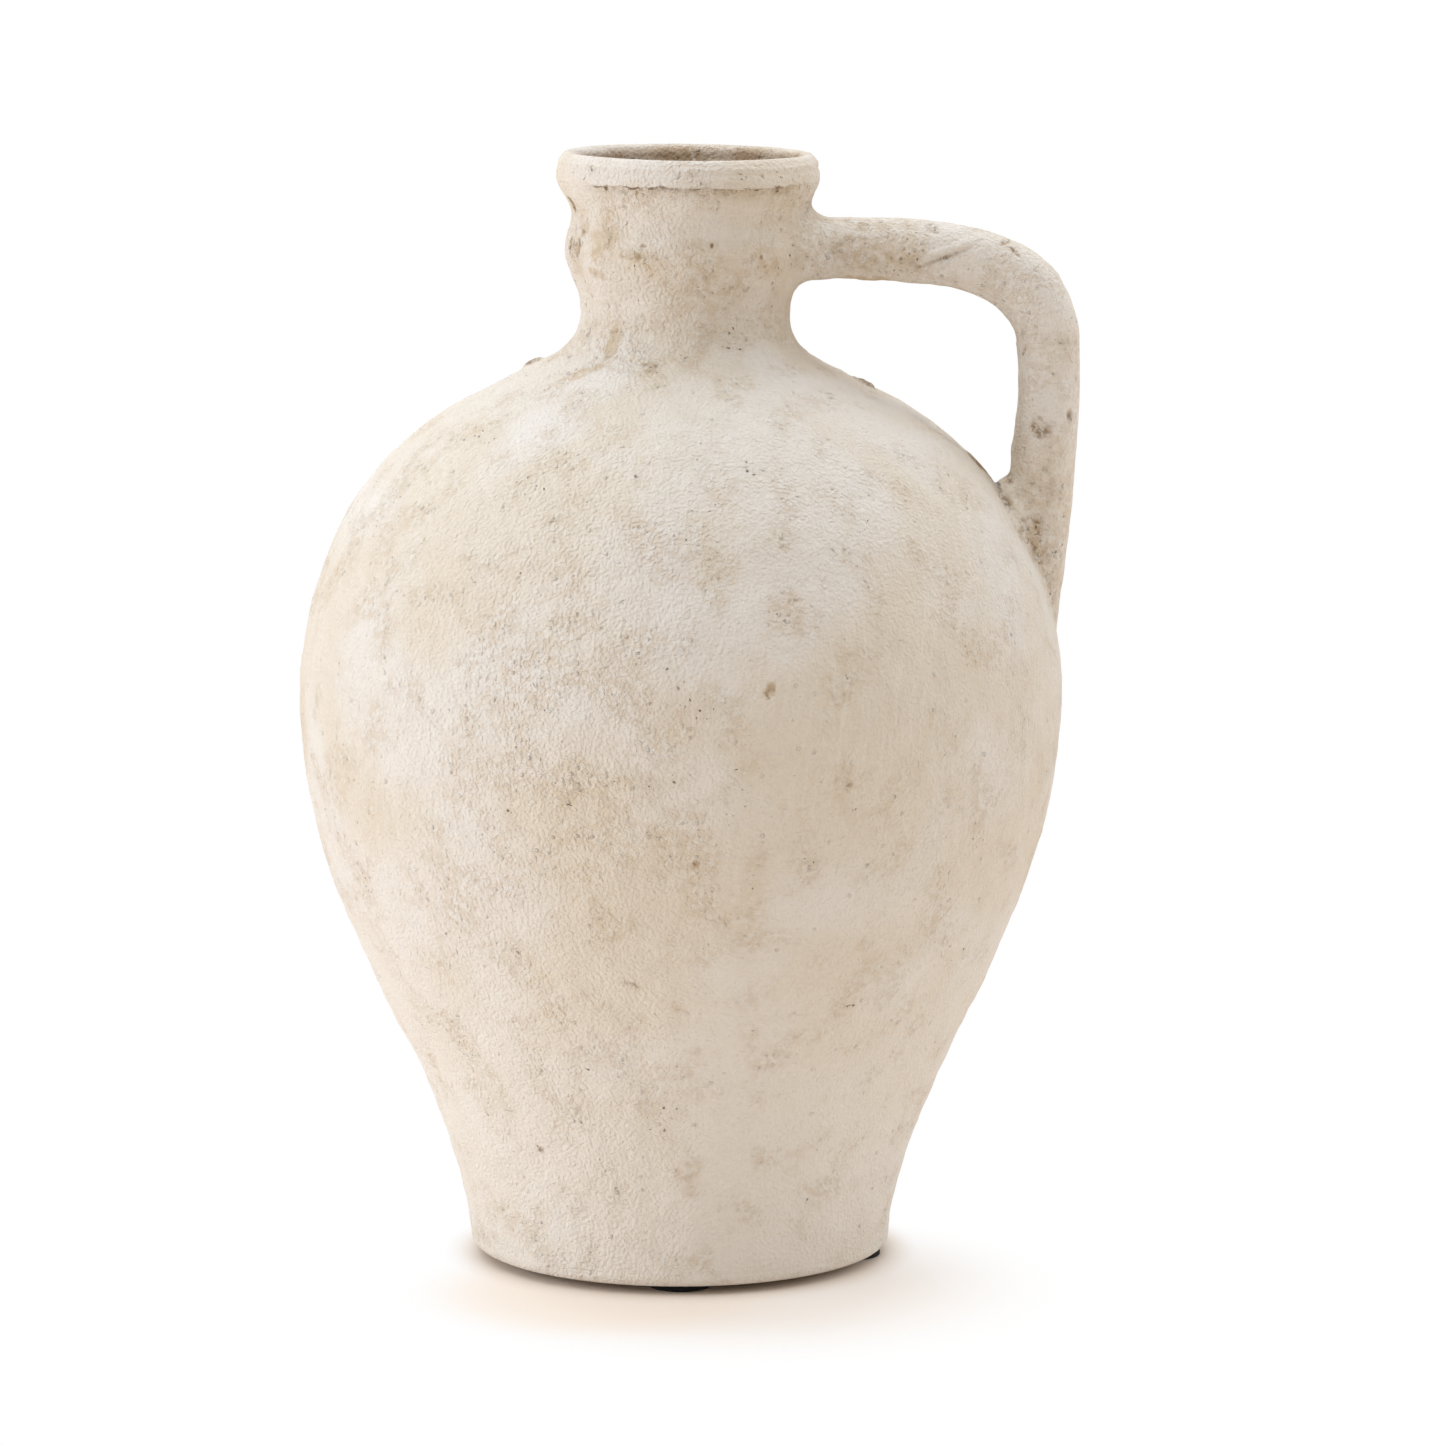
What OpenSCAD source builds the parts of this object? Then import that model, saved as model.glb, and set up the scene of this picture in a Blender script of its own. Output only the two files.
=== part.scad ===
// A handled jug vase in hand-built fired clay, standing on four stick-on pads.
// The axis of the vessel is Z, the table is z = 0 and the handle points along +X.
// The clay pieces are shown as they are before the joints are slipped and smoothed over.

/* [Pads] */
// Diameter of each round pad
pad_d = 18; // [12:0.5:25]
// Thickness of the foam of a pad
pad_t = 2.3; // [1.5:0.1:4]
// Thickness of the adhesive film on a pad
glue_t = 0.2; // [0.1:0.05:0.4]
// Distance from a pad's edge to the edge of its film
glue_margin = 0.5; // [0.2:0.1:1.5]

/* [Base] */
// Diameter of the foot, at the top of the base disc's rim
foot_d = 122; // [90:1:150]
// Thickness of the base disc
base_t = 9; // [7:0.5:14]
// Height of the base disc's rim, which carries the wall
ledge_t = 4; // [3.5:0.5:6]
// Rounding of the base disc's lower edge
edge_round = 3.5; // [1:0.5:3.5]

/* [Wall] */
// Thickness of the wall
wall = 7; // [5:0.5:9]
// Diameter of the flank, where the wall opens fastest
flank_d = 167; // [135:1:200]
// Height of the flank above the foot
flank_rise = 66; // [45:1:85]
// Angle of the wall from upright at the foot
foot_angle = 7; // [0:1:15]
// Angle of the wall from upright at the flank
flank_angle = 26; // [15:1:32]
// Diameter of the belly, the widest line
belly_d = 220; // [180:1:270]
// Height of the belly above the foot
belly_rise = 157; // [125:1:195]
// Height by which the shoulder's inner edge drops into the wall
seam_drop = 5; // [2:0.5:8]

/* [Shoulder] */
// Height of the dome that the shoulder is cut from
dome_h = 104; // [80:1:130]
// Diameter of the hole in the dome that takes the neck collar
root_d = 114; // [90:1:130]

/* [Neck] */
// Diameter of the neck at its waist
waist_d = 60; // [56:0.5:76]
// Height of the waist above the neck's root
waist_rise = 22.5; // [18:0.5:32]
// Diameter of the bulge below the rim
bulge_d = 70.4; // [64:0.2:84]
// Height of the bulge above the waist
bulge_rise = 17.5; // [12:0.5:24]
// Diameter of the groove under the rim
groove_d = 67; // [62:0.2:80]
// Height of the groove above the bulge
groove_rise = 9.5; // [6:0.5:16]
// Diameter of the straight throat
throat_d = 47; // [36:0.5:52]
// Height of the throat's lower end above the neck's root
throat_rise = 11; // [8:0.5:16]
// Depth of the throat's upper end below the groove
throat_drop = 2; // [0:0.5:6]

/* [Rim] */
// Largest diameter of the rim
rim_d = 75.4; // [70:0.2:90]
// Height of the rim's widest line above the groove
rim_rise = 11; // [8:0.5:16]
// Height of the lip above the rim's widest line
lip_h = 7; // [5:0.5:10]
// Diameter of the lip's crest
crest_d = 68.6; // [64:0.2:70]
// Diameter of the mouth, inside the lip
mouth_d = 63; // [56:0.5:63.5]
// Depth of the mouth's edge below the crest
mouth_drop = 3; // [2:0.5:4.5]
// Depth of the joint between rim and collar below the rim's widest line
rim_seam_drop = 2; // [1:0.5:4]

/* [Handle] */
// Thickness of the handle, measured across its bend
handle_t = 18.4; // [13:0.2:24]
// Width of the handle
handle_w = 24; // [18:0.5:32]
// Depth of the handle's upper run below the middle of the bulge
run_drop = 1; // [0:0.5:5]
// Distance by which the handle stands out past the belly
overhang = 4.4; // [2:0.1:20]
// Distance along X over which the handle turns down
bend_reach = 49; // [36:1:60]
// Height over which the handle turns down
bend_fall = 37; // [28:1:46]
// Height on the dome, as an angle, where the handle's tail ends
tail_angle = 11; // [6:1:20]
// Depth of the tail's end below the dome's surface
tail_sink = 9.5; // [8:0.5:12]
// Angle from upright at which the tail runs into the dome
tail_lean = 7; // [3:1:12]
// Height of the clay worked into the corner above the tail
lower_fill = 10; // [6:0.5:14]
// Height of the clay worked round the handle's root at the neck
upper_fill = 2.4; // [1.6:0.2:5]
// Distance along the handle that the clay at the neck reaches
upper_fill_reach = 6; // [4:0.5:12]

/* [Inner coils] */
// Diameter of the clay coils pressed into the inner seams
coil_d = 9; // [6:0.5:12]

/* [Hidden] */
$fn = 144;

chalk = [0.84, 0.80, 0.73];
raw_clay = [0.66, 0.56, 0.45];
foam = [0.06, 0.06, 0.06];
film = [0.75, 0.73, 0.66];

// Pads are stuck on by hand: each has its angle round the foot and its distance in from the foot's edge.
PAD_FRONT = [-90, 6];
PAD_RIGHT = [-9, 2.5];
PAD_BACK = [84, 4];
PAD_LEFT = [168, 5];
PAD_SPOTS = [PAD_FRONT, PAD_RIGHT, PAD_BACK, PAD_LEFT];

// Radii, from the diameters above
pad_r = pad_d / 2;
foot_r = foot_d / 2;
flank_r = flank_d / 2;
belly_r = belly_d / 2;
root_r = root_d / 2;
waist_r = waist_d / 2;
bulge_r = bulge_d / 2;
groove_r = groove_d / 2;
throat_r = throat_d / 2;
rim_r = rim_d / 2;
crest_r = crest_d / 2;
mouth_r = mouth_d / 2;

// Heights above the table, from the rises above
base_z = pad_t + glue_t;
foot_z = base_z + ledge_t;
floor_z = base_z + base_t;
flank_z = foot_z + flank_rise;
belly_z = foot_z + belly_rise;
root_angle = acos(root_r / belly_r);
root_z = belly_z + dome_h * sin(root_angle);
waist_z = root_z + waist_rise;
bulge_z = waist_z + bulge_rise;
groove_z = bulge_z + groove_rise;
rim_z = groove_z + rim_rise;
crest_z = rim_z + lip_h;
mouth_z = crest_z - mouth_drop;
rim_seam_z = rim_z - rim_seam_drop;
throat_z = root_z + throat_rise;
flare_z = groove_z - throat_drop;
spigot_r = foot_r - wall;

// How far the neck's flare follows the dome and the waist before it turns
root_reach = 17;
waist_reach = 15;
// The same for the inside of the collar
inner_root_reach = 15;
throat_reach = 8;

// Number of straight steps in a long curve, a short curve and a fillet
long_steps = 24;
short_steps = 10;
fillet_steps = 6;

// A value between a and b, straight or along half a wave
function mix(a, b, t) = a + (b - a) * t;
function half_wave(a, b, t) = mix(a, b, (1 - cos(180 * t)) / 2);
function unit(v) = v / norm(v);
function backwards(list) = [for (i = [len(list) - 1 : -1 : 0]) list[i]];
function steps(n, skip_first = false) = [for (i = [skip_first ? 1 : 0 : n]) i / n];

// Cubic between two values with given end slopes, over a span of length l
function hermite(a, slope_a, b, slope_b, l, t) =
    a * (2 * t ^ 3 - 3 * t ^ 2 + 1) + slope_a * l * (t ^ 3 - 2 * t ^ 2 + t)
    + b * (3 * t ^ 2 - 2 * t ^ 3) + slope_b * l * (t ^ 3 - t ^ 2);

// Cubic Bezier curve
function bezier(p, q, r, s, t) =
    (1 - t) ^ 3 * p + 3 * (1 - t) ^ 2 * t * q + 3 * (1 - t) * t ^ 2 * r + t ^ 3 * s;

// Outside of the lower wall: its radius at height z, and how fast that grows
function wall_r(z) = z < flank_z
    ? hermite(foot_r, tan(foot_angle), flank_r, tan(flank_angle), flank_rise, (z - foot_z) / flank_rise)
    : hermite(flank_r, tan(flank_angle), belly_r, 0, belly_rise - flank_rise,
              (z - flank_z) / (belly_rise - flank_rise));
slope_step = 0.1;
function wall_slope(z) = (wall_r(z + slope_step) - wall_r(z - slope_step)) / (2 * slope_step);

// Inside of the lower wall, one wall thickness in
function wall_in_r(z) = wall_r(z) - wall * sqrt(1 + wall_slope(z) ^ 2);

// The dome of the shoulder, outside and inside, at an angle up from the belly
function dome(a) = [belly_r * cos(a), belly_z + dome_h * sin(a)];
function dome_normal(a) = unit([cos(a) / belly_r, sin(a) / dome_h]);
function dome_tangent(a) = unit([-belly_r * sin(a), dome_h * cos(a)]);
function dome_in(a) = dome(a) - wall * dome_normal(a);
function dome_height(x) = belly_z + dome_h * sqrt(1 - (x / belly_r) ^ 2);

// Outlines in [radius, height], each from its lower to its upper end
lower_outside = [for (t = steps(long_steps)) let (z = mix(foot_z, belly_z, t)) [wall_r(z), z]];
lower_inside = [
    for (t = steps(long_steps)) let (z = mix(floor_z, belly_z - seam_drop, t)) [wall_in_r(z), z]
];
seam_inside = [
    for (t = [0 : fillet_steps - 1])
        let (z = mix(belly_z - seam_drop, belly_z, t / fillet_steps)) [wall_in_r(z), z]
];
dome_outside = [for (t = steps(long_steps)) dome(root_angle * t)];
dome_inside = [for (t = steps(long_steps)) dome_in(root_angle * t)];

// The inside of wall and shoulder as one line, and the part of it between two heights
body_inside = concat(lower_inside, seam_inside, dome_inside);
function inside_r(z) = lookup(z, [for (p = body_inside) [p[1], p[0]]]);
same_point = 0.01;
function inside_between(low, high) = concat(
    [[inside_r(low), low]],
    [for (p = body_inside) if (p[1] > low + same_point && p[1] < high - same_point) p],
    [[inside_r(high), high]]
);

waist_point = [waist_r, waist_z];
throat_point = [throat_r, throat_z];
flare_outside = [
    for (t = steps(short_steps))
        bezier(dome(root_angle), dome(root_angle) + root_reach * dome_tangent(root_angle),
               waist_point - [0, waist_reach], waist_point, t)
];
flare_inside = [
    for (t = steps(short_steps))
        bezier(dome_in(root_angle), dome_in(root_angle) + inner_root_reach * dome_tangent(root_angle),
               throat_point - [0, throat_reach], throat_point, t)
];
// Rim's outside below its widest line, and the mouth's inside, as functions of height
function under_rim_r(z) = half_wave(groove_r, rim_r, (z - groove_z) / rim_rise);
function mouth_in_r(z) = half_wave(throat_r, mouth_r, (z - flare_z) / (mouth_z - flare_z));
neck_outside = concat(
    flare_outside,
    [for (t = steps(short_steps, true)) [half_wave(waist_r, bulge_r, t), waist_z + bulge_rise * t]],
    [for (t = steps(short_steps, true)) [half_wave(bulge_r, groove_r, t), bulge_z + groove_rise * t]],
    [for (t = steps(short_steps, true)) let (z = mix(groove_z, rim_seam_z, t)) [under_rim_r(z), z]]
);
neck_inside = concat(
    flare_inside,
    [for (t = steps(short_steps)) let (z = mix(flare_z, rim_seam_z, t)) [mouth_in_r(z), z]]
);
rim_outside = concat(
    [for (t = steps(fillet_steps)) let (z = mix(rim_seam_z, rim_z, t)) [under_rim_r(z), z]],
    [
        for (t = steps(short_steps, true))
            [mix(crest_r, rim_r, cos(90 * t)), mix(rim_z, crest_z, sin(90 * t))]
    ]
);
rim_inside = concat(
    [for (t = steps(fillet_steps)) let (z = mix(rim_seam_z, mouth_z, t)) [mouth_in_r(z), z]],
    [
        for (t = [1 : fillet_steps - 1])
            let (a = 90 * t / fillet_steps)
                [mix(crest_r, mouth_r, cos(a)), mix(mouth_z, crest_z, sin(a))]
    ]
);

// The base disc's rounded lower edge
edge_arc = [
    for (t = steps(fillet_steps))
        [foot_r - edge_round + edge_round * sin(90 * t), base_z + edge_round - edge_round * cos(90 * t)]
];

// Everything inside the vessel's outer surface, for cutting what is joined to the outside
module vessel_envelope() {
    rotate_extrude()
        polygon(concat([[0, base_z]], edge_arc, lower_outside, dome_outside, neck_outside, rim_outside,
                       [[0, crest_z]]));
}

// A flat disc of clay with a rim that the wall stands on and a raised middle that the wall fits round
module base_disc() {
    color(raw_clay)
        rotate_extrude()
            polygon(concat([[0, base_z]], edge_arc,
                           [[foot_r, foot_z], [spigot_r, foot_z], [spigot_r, floor_z], [0, floor_z]]));
}

// The lower half of the body, thrown as an open bowl with a bevelled top edge
module lower_wall() {
    color(chalk)
        rotate_extrude()
            polygon(concat(lower_outside, backwards(lower_inside),
                           [[spigot_r, floor_z], [spigot_r, foot_z]]));
}

// The upper half of the body, thrown as a dome and set into the bevel of the lower half
module shoulder() {
    color(chalk)
        rotate_extrude()
            polygon(concat(dome_outside, backwards(dome_inside), backwards(seam_inside)));
}

// The neck, with its flared root on the shoulder and a straight throat
module neck_collar() {
    color(chalk)
        rotate_extrude()
            polygon(concat(neck_outside, backwards(neck_inside)));
}

// The rolled coil that makes the rim, laid on the neck's top edge
module rim_roll() {
    color(chalk)
        rotate_extrude()
            polygon(concat(rim_outside, backwards(rim_inside)));
}

// A coil of soft clay pressed into the corner between floor and wall
module base_seam_coil() {
    top_z = floor_z + coil_d / 2;
    toe_r = inside_r(floor_z) - coil_d / 2;
    color(raw_clay)
        rotate_extrude()
            polygon(concat(
                inside_between(floor_z, top_z),
                [
                    for (t = steps(short_steps, true))
                        [mix(toe_r, inside_r(top_z), 1 - sin(90 * t)), mix(top_z, floor_z, 1 - cos(90 * t))]
                ]));
}

// A coil of soft clay pressed flat over the seam at the belly, from inside
module belly_seam_coil() {
    seam_z = belly_z - seam_drop;
    low = seam_z - coil_d / 2;
    high = seam_z + coil_d / 2;
    press = coil_d / 3;
    color(raw_clay)
        rotate_extrude()
            polygon(concat(
                inside_between(low, high),
                [
                    for (t = [1 : short_steps - 1])
                        let (a = 180 * t / short_steps, z = mix(high, low, t / short_steps))
                            [inside_r(z) - press * sin(a), z]
                ]));
}

// The handle's centre line in [x, z]: out from the neck, round the bend and down to the dome
run_x = belly_r + overhang - handle_t / 2;
run_z = bulge_z - run_drop;
root_x = bulge_r - wall / 2;
bend_start = [run_x - bend_reach, run_z];
tail_start = [run_x, run_z - bend_fall];
bend_fullness = 0.7;
tail_end = dome(tail_angle) - tail_sink * dome_normal(tail_angle);
tail_drop = tail_start[1] - tail_end[1];
tail_ease = 0.35;
run_rings = 4;
bend_rings = 12;
tail_rings = 14;
handle_line = concat(
    [for (t = steps(run_rings)) [mix(root_x, bend_start[0], t), run_z]],
    [
        for (t = steps(bend_rings, true))
            bezier(bend_start, bend_start + [bend_fullness * bend_reach, 0],
                   tail_start + [0, bend_fullness * bend_fall], tail_start, t)
    ],
    [
        for (t = steps(tail_rings, true))
            bezier(tail_start, tail_start - [0, tail_ease * tail_drop],
                   tail_end + tail_ease * tail_drop * [sin(tail_lean), cos(tail_lean)], tail_end, t)
    ]
);

// One ring of a swept bar: a rounded oblong square to the direction it runs in
bar_sides = 24;
squareness = 0.8;
function softened(v) = sign(v) * abs(v) ^ squareness;
function bar_ring(p, along, thick, wide) =
    let (across = [-along[1], along[0]])
        [
            for (i = [0 : bar_sides - 1])
                let (a = 360 * i / bar_sides, u = softened(cos(a)) * thick / 2, v = softened(sin(a)) * wide / 2)
                    [p[0] + across[0] * u, v, p[1] + across[1] * u]
        ];
function line_direction(line, i) =
    unit(line[min(i + 1, len(line) - 1)] - line[max(i - 1, 0)]);

// A closed bar through a list of rings
module ringed_bar(rings) {
    count = len(rings);
    points = [for (ring = rings) each ring];
    sides = [
        for (i = [0 : count - 2], j = [0 : bar_sides - 1])
            let (k = (j + 1) % bar_sides, a = i * bar_sides, b = a + bar_sides)
                each [[a + j, b + k, b + j], [a + j, a + k, b + k]]
    ];
    first_cap = [for (j = [bar_sides - 1 : -1 : 0]) j];
    last_cap = [for (j = [0 : bar_sides - 1]) (count - 1) * bar_sides + j];
    polyhedron(points, concat(sides, [first_cap, last_cap]), convexity = 4);
}

// The handle before its ends are cut to the vessel
module handle_bar() {
    ringed_bar([
        for (i = [0 : len(handle_line) - 1])
            bar_ring(handle_line[i], line_direction(handle_line, i), handle_t, handle_w)
    ]);
}

// A pulled strap of clay, cut to lie on the neck and the shoulder
module handle() {
    color(chalk)
        difference() {
            handle_bar();
            vessel_envelope();
        }
}

// A closed sleeve between a list of outer rings and a list of inner rings
module ringed_sleeve(outer_rings, inner_rings) {
    count = len(outer_rings);
    inner_start = count * bar_sides;
    last = (count - 1) * bar_sides;
    points = concat([for (ring = outer_rings) each ring], [for (ring = inner_rings) each ring]);
    outer_sides = [
        for (i = [0 : count - 2], j = [0 : bar_sides - 1])
            let (k = (j + 1) % bar_sides, a = i * bar_sides, b = a + bar_sides)
                each [[a + j, b + k, b + j], [a + j, a + k, b + k]]
    ];
    inner_sides = [for (f = outer_sides) inner_start * [1, 1, 1] + [f[0], f[2], f[1]]];
    ends = [
        for (j = [0 : bar_sides - 1])
            let (k = (j + 1) % bar_sides, n = inner_start)
                each [
                    [j, n + k, k],
                    [j, n + j, n + k],
                    [last + j, last + k, n + last + k],
                    [last + j, n + last + k, n + last + j]
                ]
    ];
    polyhedron(points, concat(outer_sides, inner_sides, ends), convexity = 6);
}

// Soft clay worked round the handle's root, thinning out along the handle
module handle_upper_lute() {
    feather = 0.5;
    start_x = root_x;
    end_x = bulge_r + upper_fill_reach;
    color(chalk)
        difference() {
            ringed_sleeve(
                [
                    for (t = steps(fillet_steps))
                        let (rise = mix(feather, upper_fill, (1 - t) ^ 2))
                            bar_ring([mix(start_x, end_x, t), run_z], [1, 0],
                                     handle_t + 2 * rise, handle_w + 2 * rise)
                ],
                [
                    for (t = steps(fillet_steps))
                        bar_ring([mix(start_x, end_x, t), run_z], [1, 0], handle_t, handle_w)
                ]);
            vessel_envelope();
        }
}

// Soft clay worked into the sharp corner between the handle's inner face and the shoulder.
// Its outline runs through the handle and the dome, which then cut it to fit.
module handle_lower_lute() {
    tail_shift = 2.3;
    spread = 0.55 * lower_fill;
    climb = 1.1 * lower_fill;
    sag = 0.15 * lower_fill;
    into_handle = [handle_t / 3, 0];
    into_dome = [lower_fill / 4, lower_fill / 2];
    width = 0.7 * handle_w;
    corner_x = run_x - handle_t / 2 - tail_shift;
    corner = [corner_x, dome_height(corner_x)];
    dome_side = [corner_x - spread, dome_height(corner_x - spread)];
    handle_side = corner + [0, climb];
    color(chalk)
        difference() {
            rotate([90, 0, 0])
                linear_extrude(width, center = true)
                    polygon([
                        corner - [0, into_dome[1]],
                        corner + into_handle,
                        handle_side + into_handle,
                        handle_side,
                        (dome_side + handle_side) / 2 - [0, sag],
                        dome_side,
                        dome_side - into_dome
                    ]);
            handle_bar();
            vessel_envelope();
        }
}

// Puts a shape at a pad's place under the base
module at_pad(spot) {
    rotate(spot[0]) translate([foot_r - spot[1] - pad_r, 0, 0]) children();
}

// One round pad of closed-cell foam
module pad(spot) {
    color(foam) at_pad(spot) cylinder(h = pad_t, d = pad_d);
}

// The adhesive films between the pads and the base
module pad_adhesive() {
    color(film)
        for (spot = PAD_SPOTS)
            at_pad(spot) translate([0, 0, pad_t]) cylinder(h = glue_t, d = pad_d - 2 * glue_margin);
}

base_disc();
lower_wall();
shoulder();
neck_collar();
rim_roll();
base_seam_coil();
belly_seam_coil();
handle();
handle_upper_lute();
handle_lower_lute();
pad(PAD_FRONT);  // pad_front
pad(PAD_RIGHT);  // pad_right
pad(PAD_BACK);  // pad_back
pad(PAD_LEFT);  // pad_left
pad_adhesive();
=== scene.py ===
import bpy
import numpy as np
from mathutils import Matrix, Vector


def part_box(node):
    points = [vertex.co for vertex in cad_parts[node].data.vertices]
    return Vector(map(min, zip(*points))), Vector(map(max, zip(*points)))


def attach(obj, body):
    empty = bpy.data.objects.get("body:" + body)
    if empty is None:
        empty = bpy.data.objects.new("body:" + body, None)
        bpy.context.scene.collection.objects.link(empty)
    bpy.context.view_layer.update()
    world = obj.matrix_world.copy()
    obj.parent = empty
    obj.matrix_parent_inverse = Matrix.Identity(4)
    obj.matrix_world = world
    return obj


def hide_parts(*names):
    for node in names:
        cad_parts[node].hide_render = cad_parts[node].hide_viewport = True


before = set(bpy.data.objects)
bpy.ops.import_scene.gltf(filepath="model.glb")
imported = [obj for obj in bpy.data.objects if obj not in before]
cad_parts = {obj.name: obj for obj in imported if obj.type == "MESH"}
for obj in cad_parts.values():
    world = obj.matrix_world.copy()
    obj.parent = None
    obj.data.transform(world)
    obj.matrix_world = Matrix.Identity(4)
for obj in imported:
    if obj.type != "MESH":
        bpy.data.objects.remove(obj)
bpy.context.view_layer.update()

# The base
# A flat disc of coarse clay, rolled out and cut round, with a rim that the wall stands on.
# Its lower edge is rubbed round and washed by hand, and the underside is left bare for the pads.
MM = 0.001
base_low, base_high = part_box("base_disc")
foot_r = base_high.x
base_z = base_low.z
floor_z = base_high.z
foot_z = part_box("lower_wall")[0].z
wall = 7 * MM
edge_round = 3.5 * MM
spigot_r = foot_r - wall
middle_r = 3 * MM
columns = 600
angles = np.linspace(0, 2 * np.pi, columns, endpoint=False)
lattice_slopes = np.array([np.roll([0, a, b], k) for a in (1, -1) for b in (1, -1) for k in range(3)])


def scatter(cell, salt):
    """A fixed random number from 0 to 1 for each cell of a cubic lattice: its three whole-number
    places and the salt are multiplied by primes, mixed bit by bit and cut to 24 bits."""
    n = cell @ np.array([73856093, 19349663, 83492791]) + salt * 2654435761 & 0xFFFFFFFF
    n = (n ^ (n >> 15)) * 0x2C1B3C6D & 0xFFFFFFFF
    n = (n ^ (n >> 12)) * 0x297A2D39 & 0xFFFFFFFF
    return ((n ^ (n >> 15)) & 0xFFFFFF) / 0x1000000


def clay_noise(p, size, salt):
    """Soft lumps about one size across, roughly -1 to 1: each corner of a cubic lattice has a random
    slope, and the slopes' heights are blended inside each cell by a quintic step along each axis."""
    q = p / size + 0.37 * salt
    cell = np.floor(q).astype(np.int64)
    f = q - cell
    fade = f * f * f * (f * (6 * f - 15) + 10)
    total = 0
    for corner in np.ndindex(2, 2, 2):
        at = np.array(corner)
        share = np.where(at, fade, 1 - fade).prod(axis=-1)
        slope = lattice_slopes[(scatter(cell + at, salt) * len(lattice_slopes)).astype(int)]
        total = total + share * np.einsum("...k,...k->...", slope, f - at)
    return total


def clay_lumps(p, size, salt, levels=3):
    """Lumps on several scales, about -1 to 1: each level is half the size and 0.55 the height of
    the one before."""
    heights = 0.55 ** np.arange(levels)
    layers = [h * clay_noise(p, size / 2 ** k, salt + k) for k, h in enumerate(heights)]
    return sum(layers) / np.sqrt((heights ** 2).sum())


def clay_spots(p, spacing, salt, small, large):
    """Scattered round spots: each cubic cell holds one centre with a radius from small to large,
    mostly small, and a spot is one minus the square of the distance over the radius. The highest wins."""
    q = p / spacing
    home = np.floor(q).astype(np.int64)
    best = np.zeros(p.shape[:-1])
    for step in np.ndindex(3, 3, 3):
        cell = home + np.array(step) - 1
        centre = cell + np.stack([scatter(cell, salt + axis) for axis in range(3)], axis=-1)
        radius = small + (large - small) * scatter(cell, salt + 3) ** 2
        away = np.linalg.norm(q - centre, axis=-1) * spacing / radius
        best = np.maximum(best, 1 - away ** 2)
    return best


def step_up(low, high, value):
    """Smooth step from 0 at low to 1 at high: three times the square less twice the cube."""
    t = np.clip((value - low) / (high - low), 0, 1)
    return t * t * (3 - 2 * t)


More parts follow.
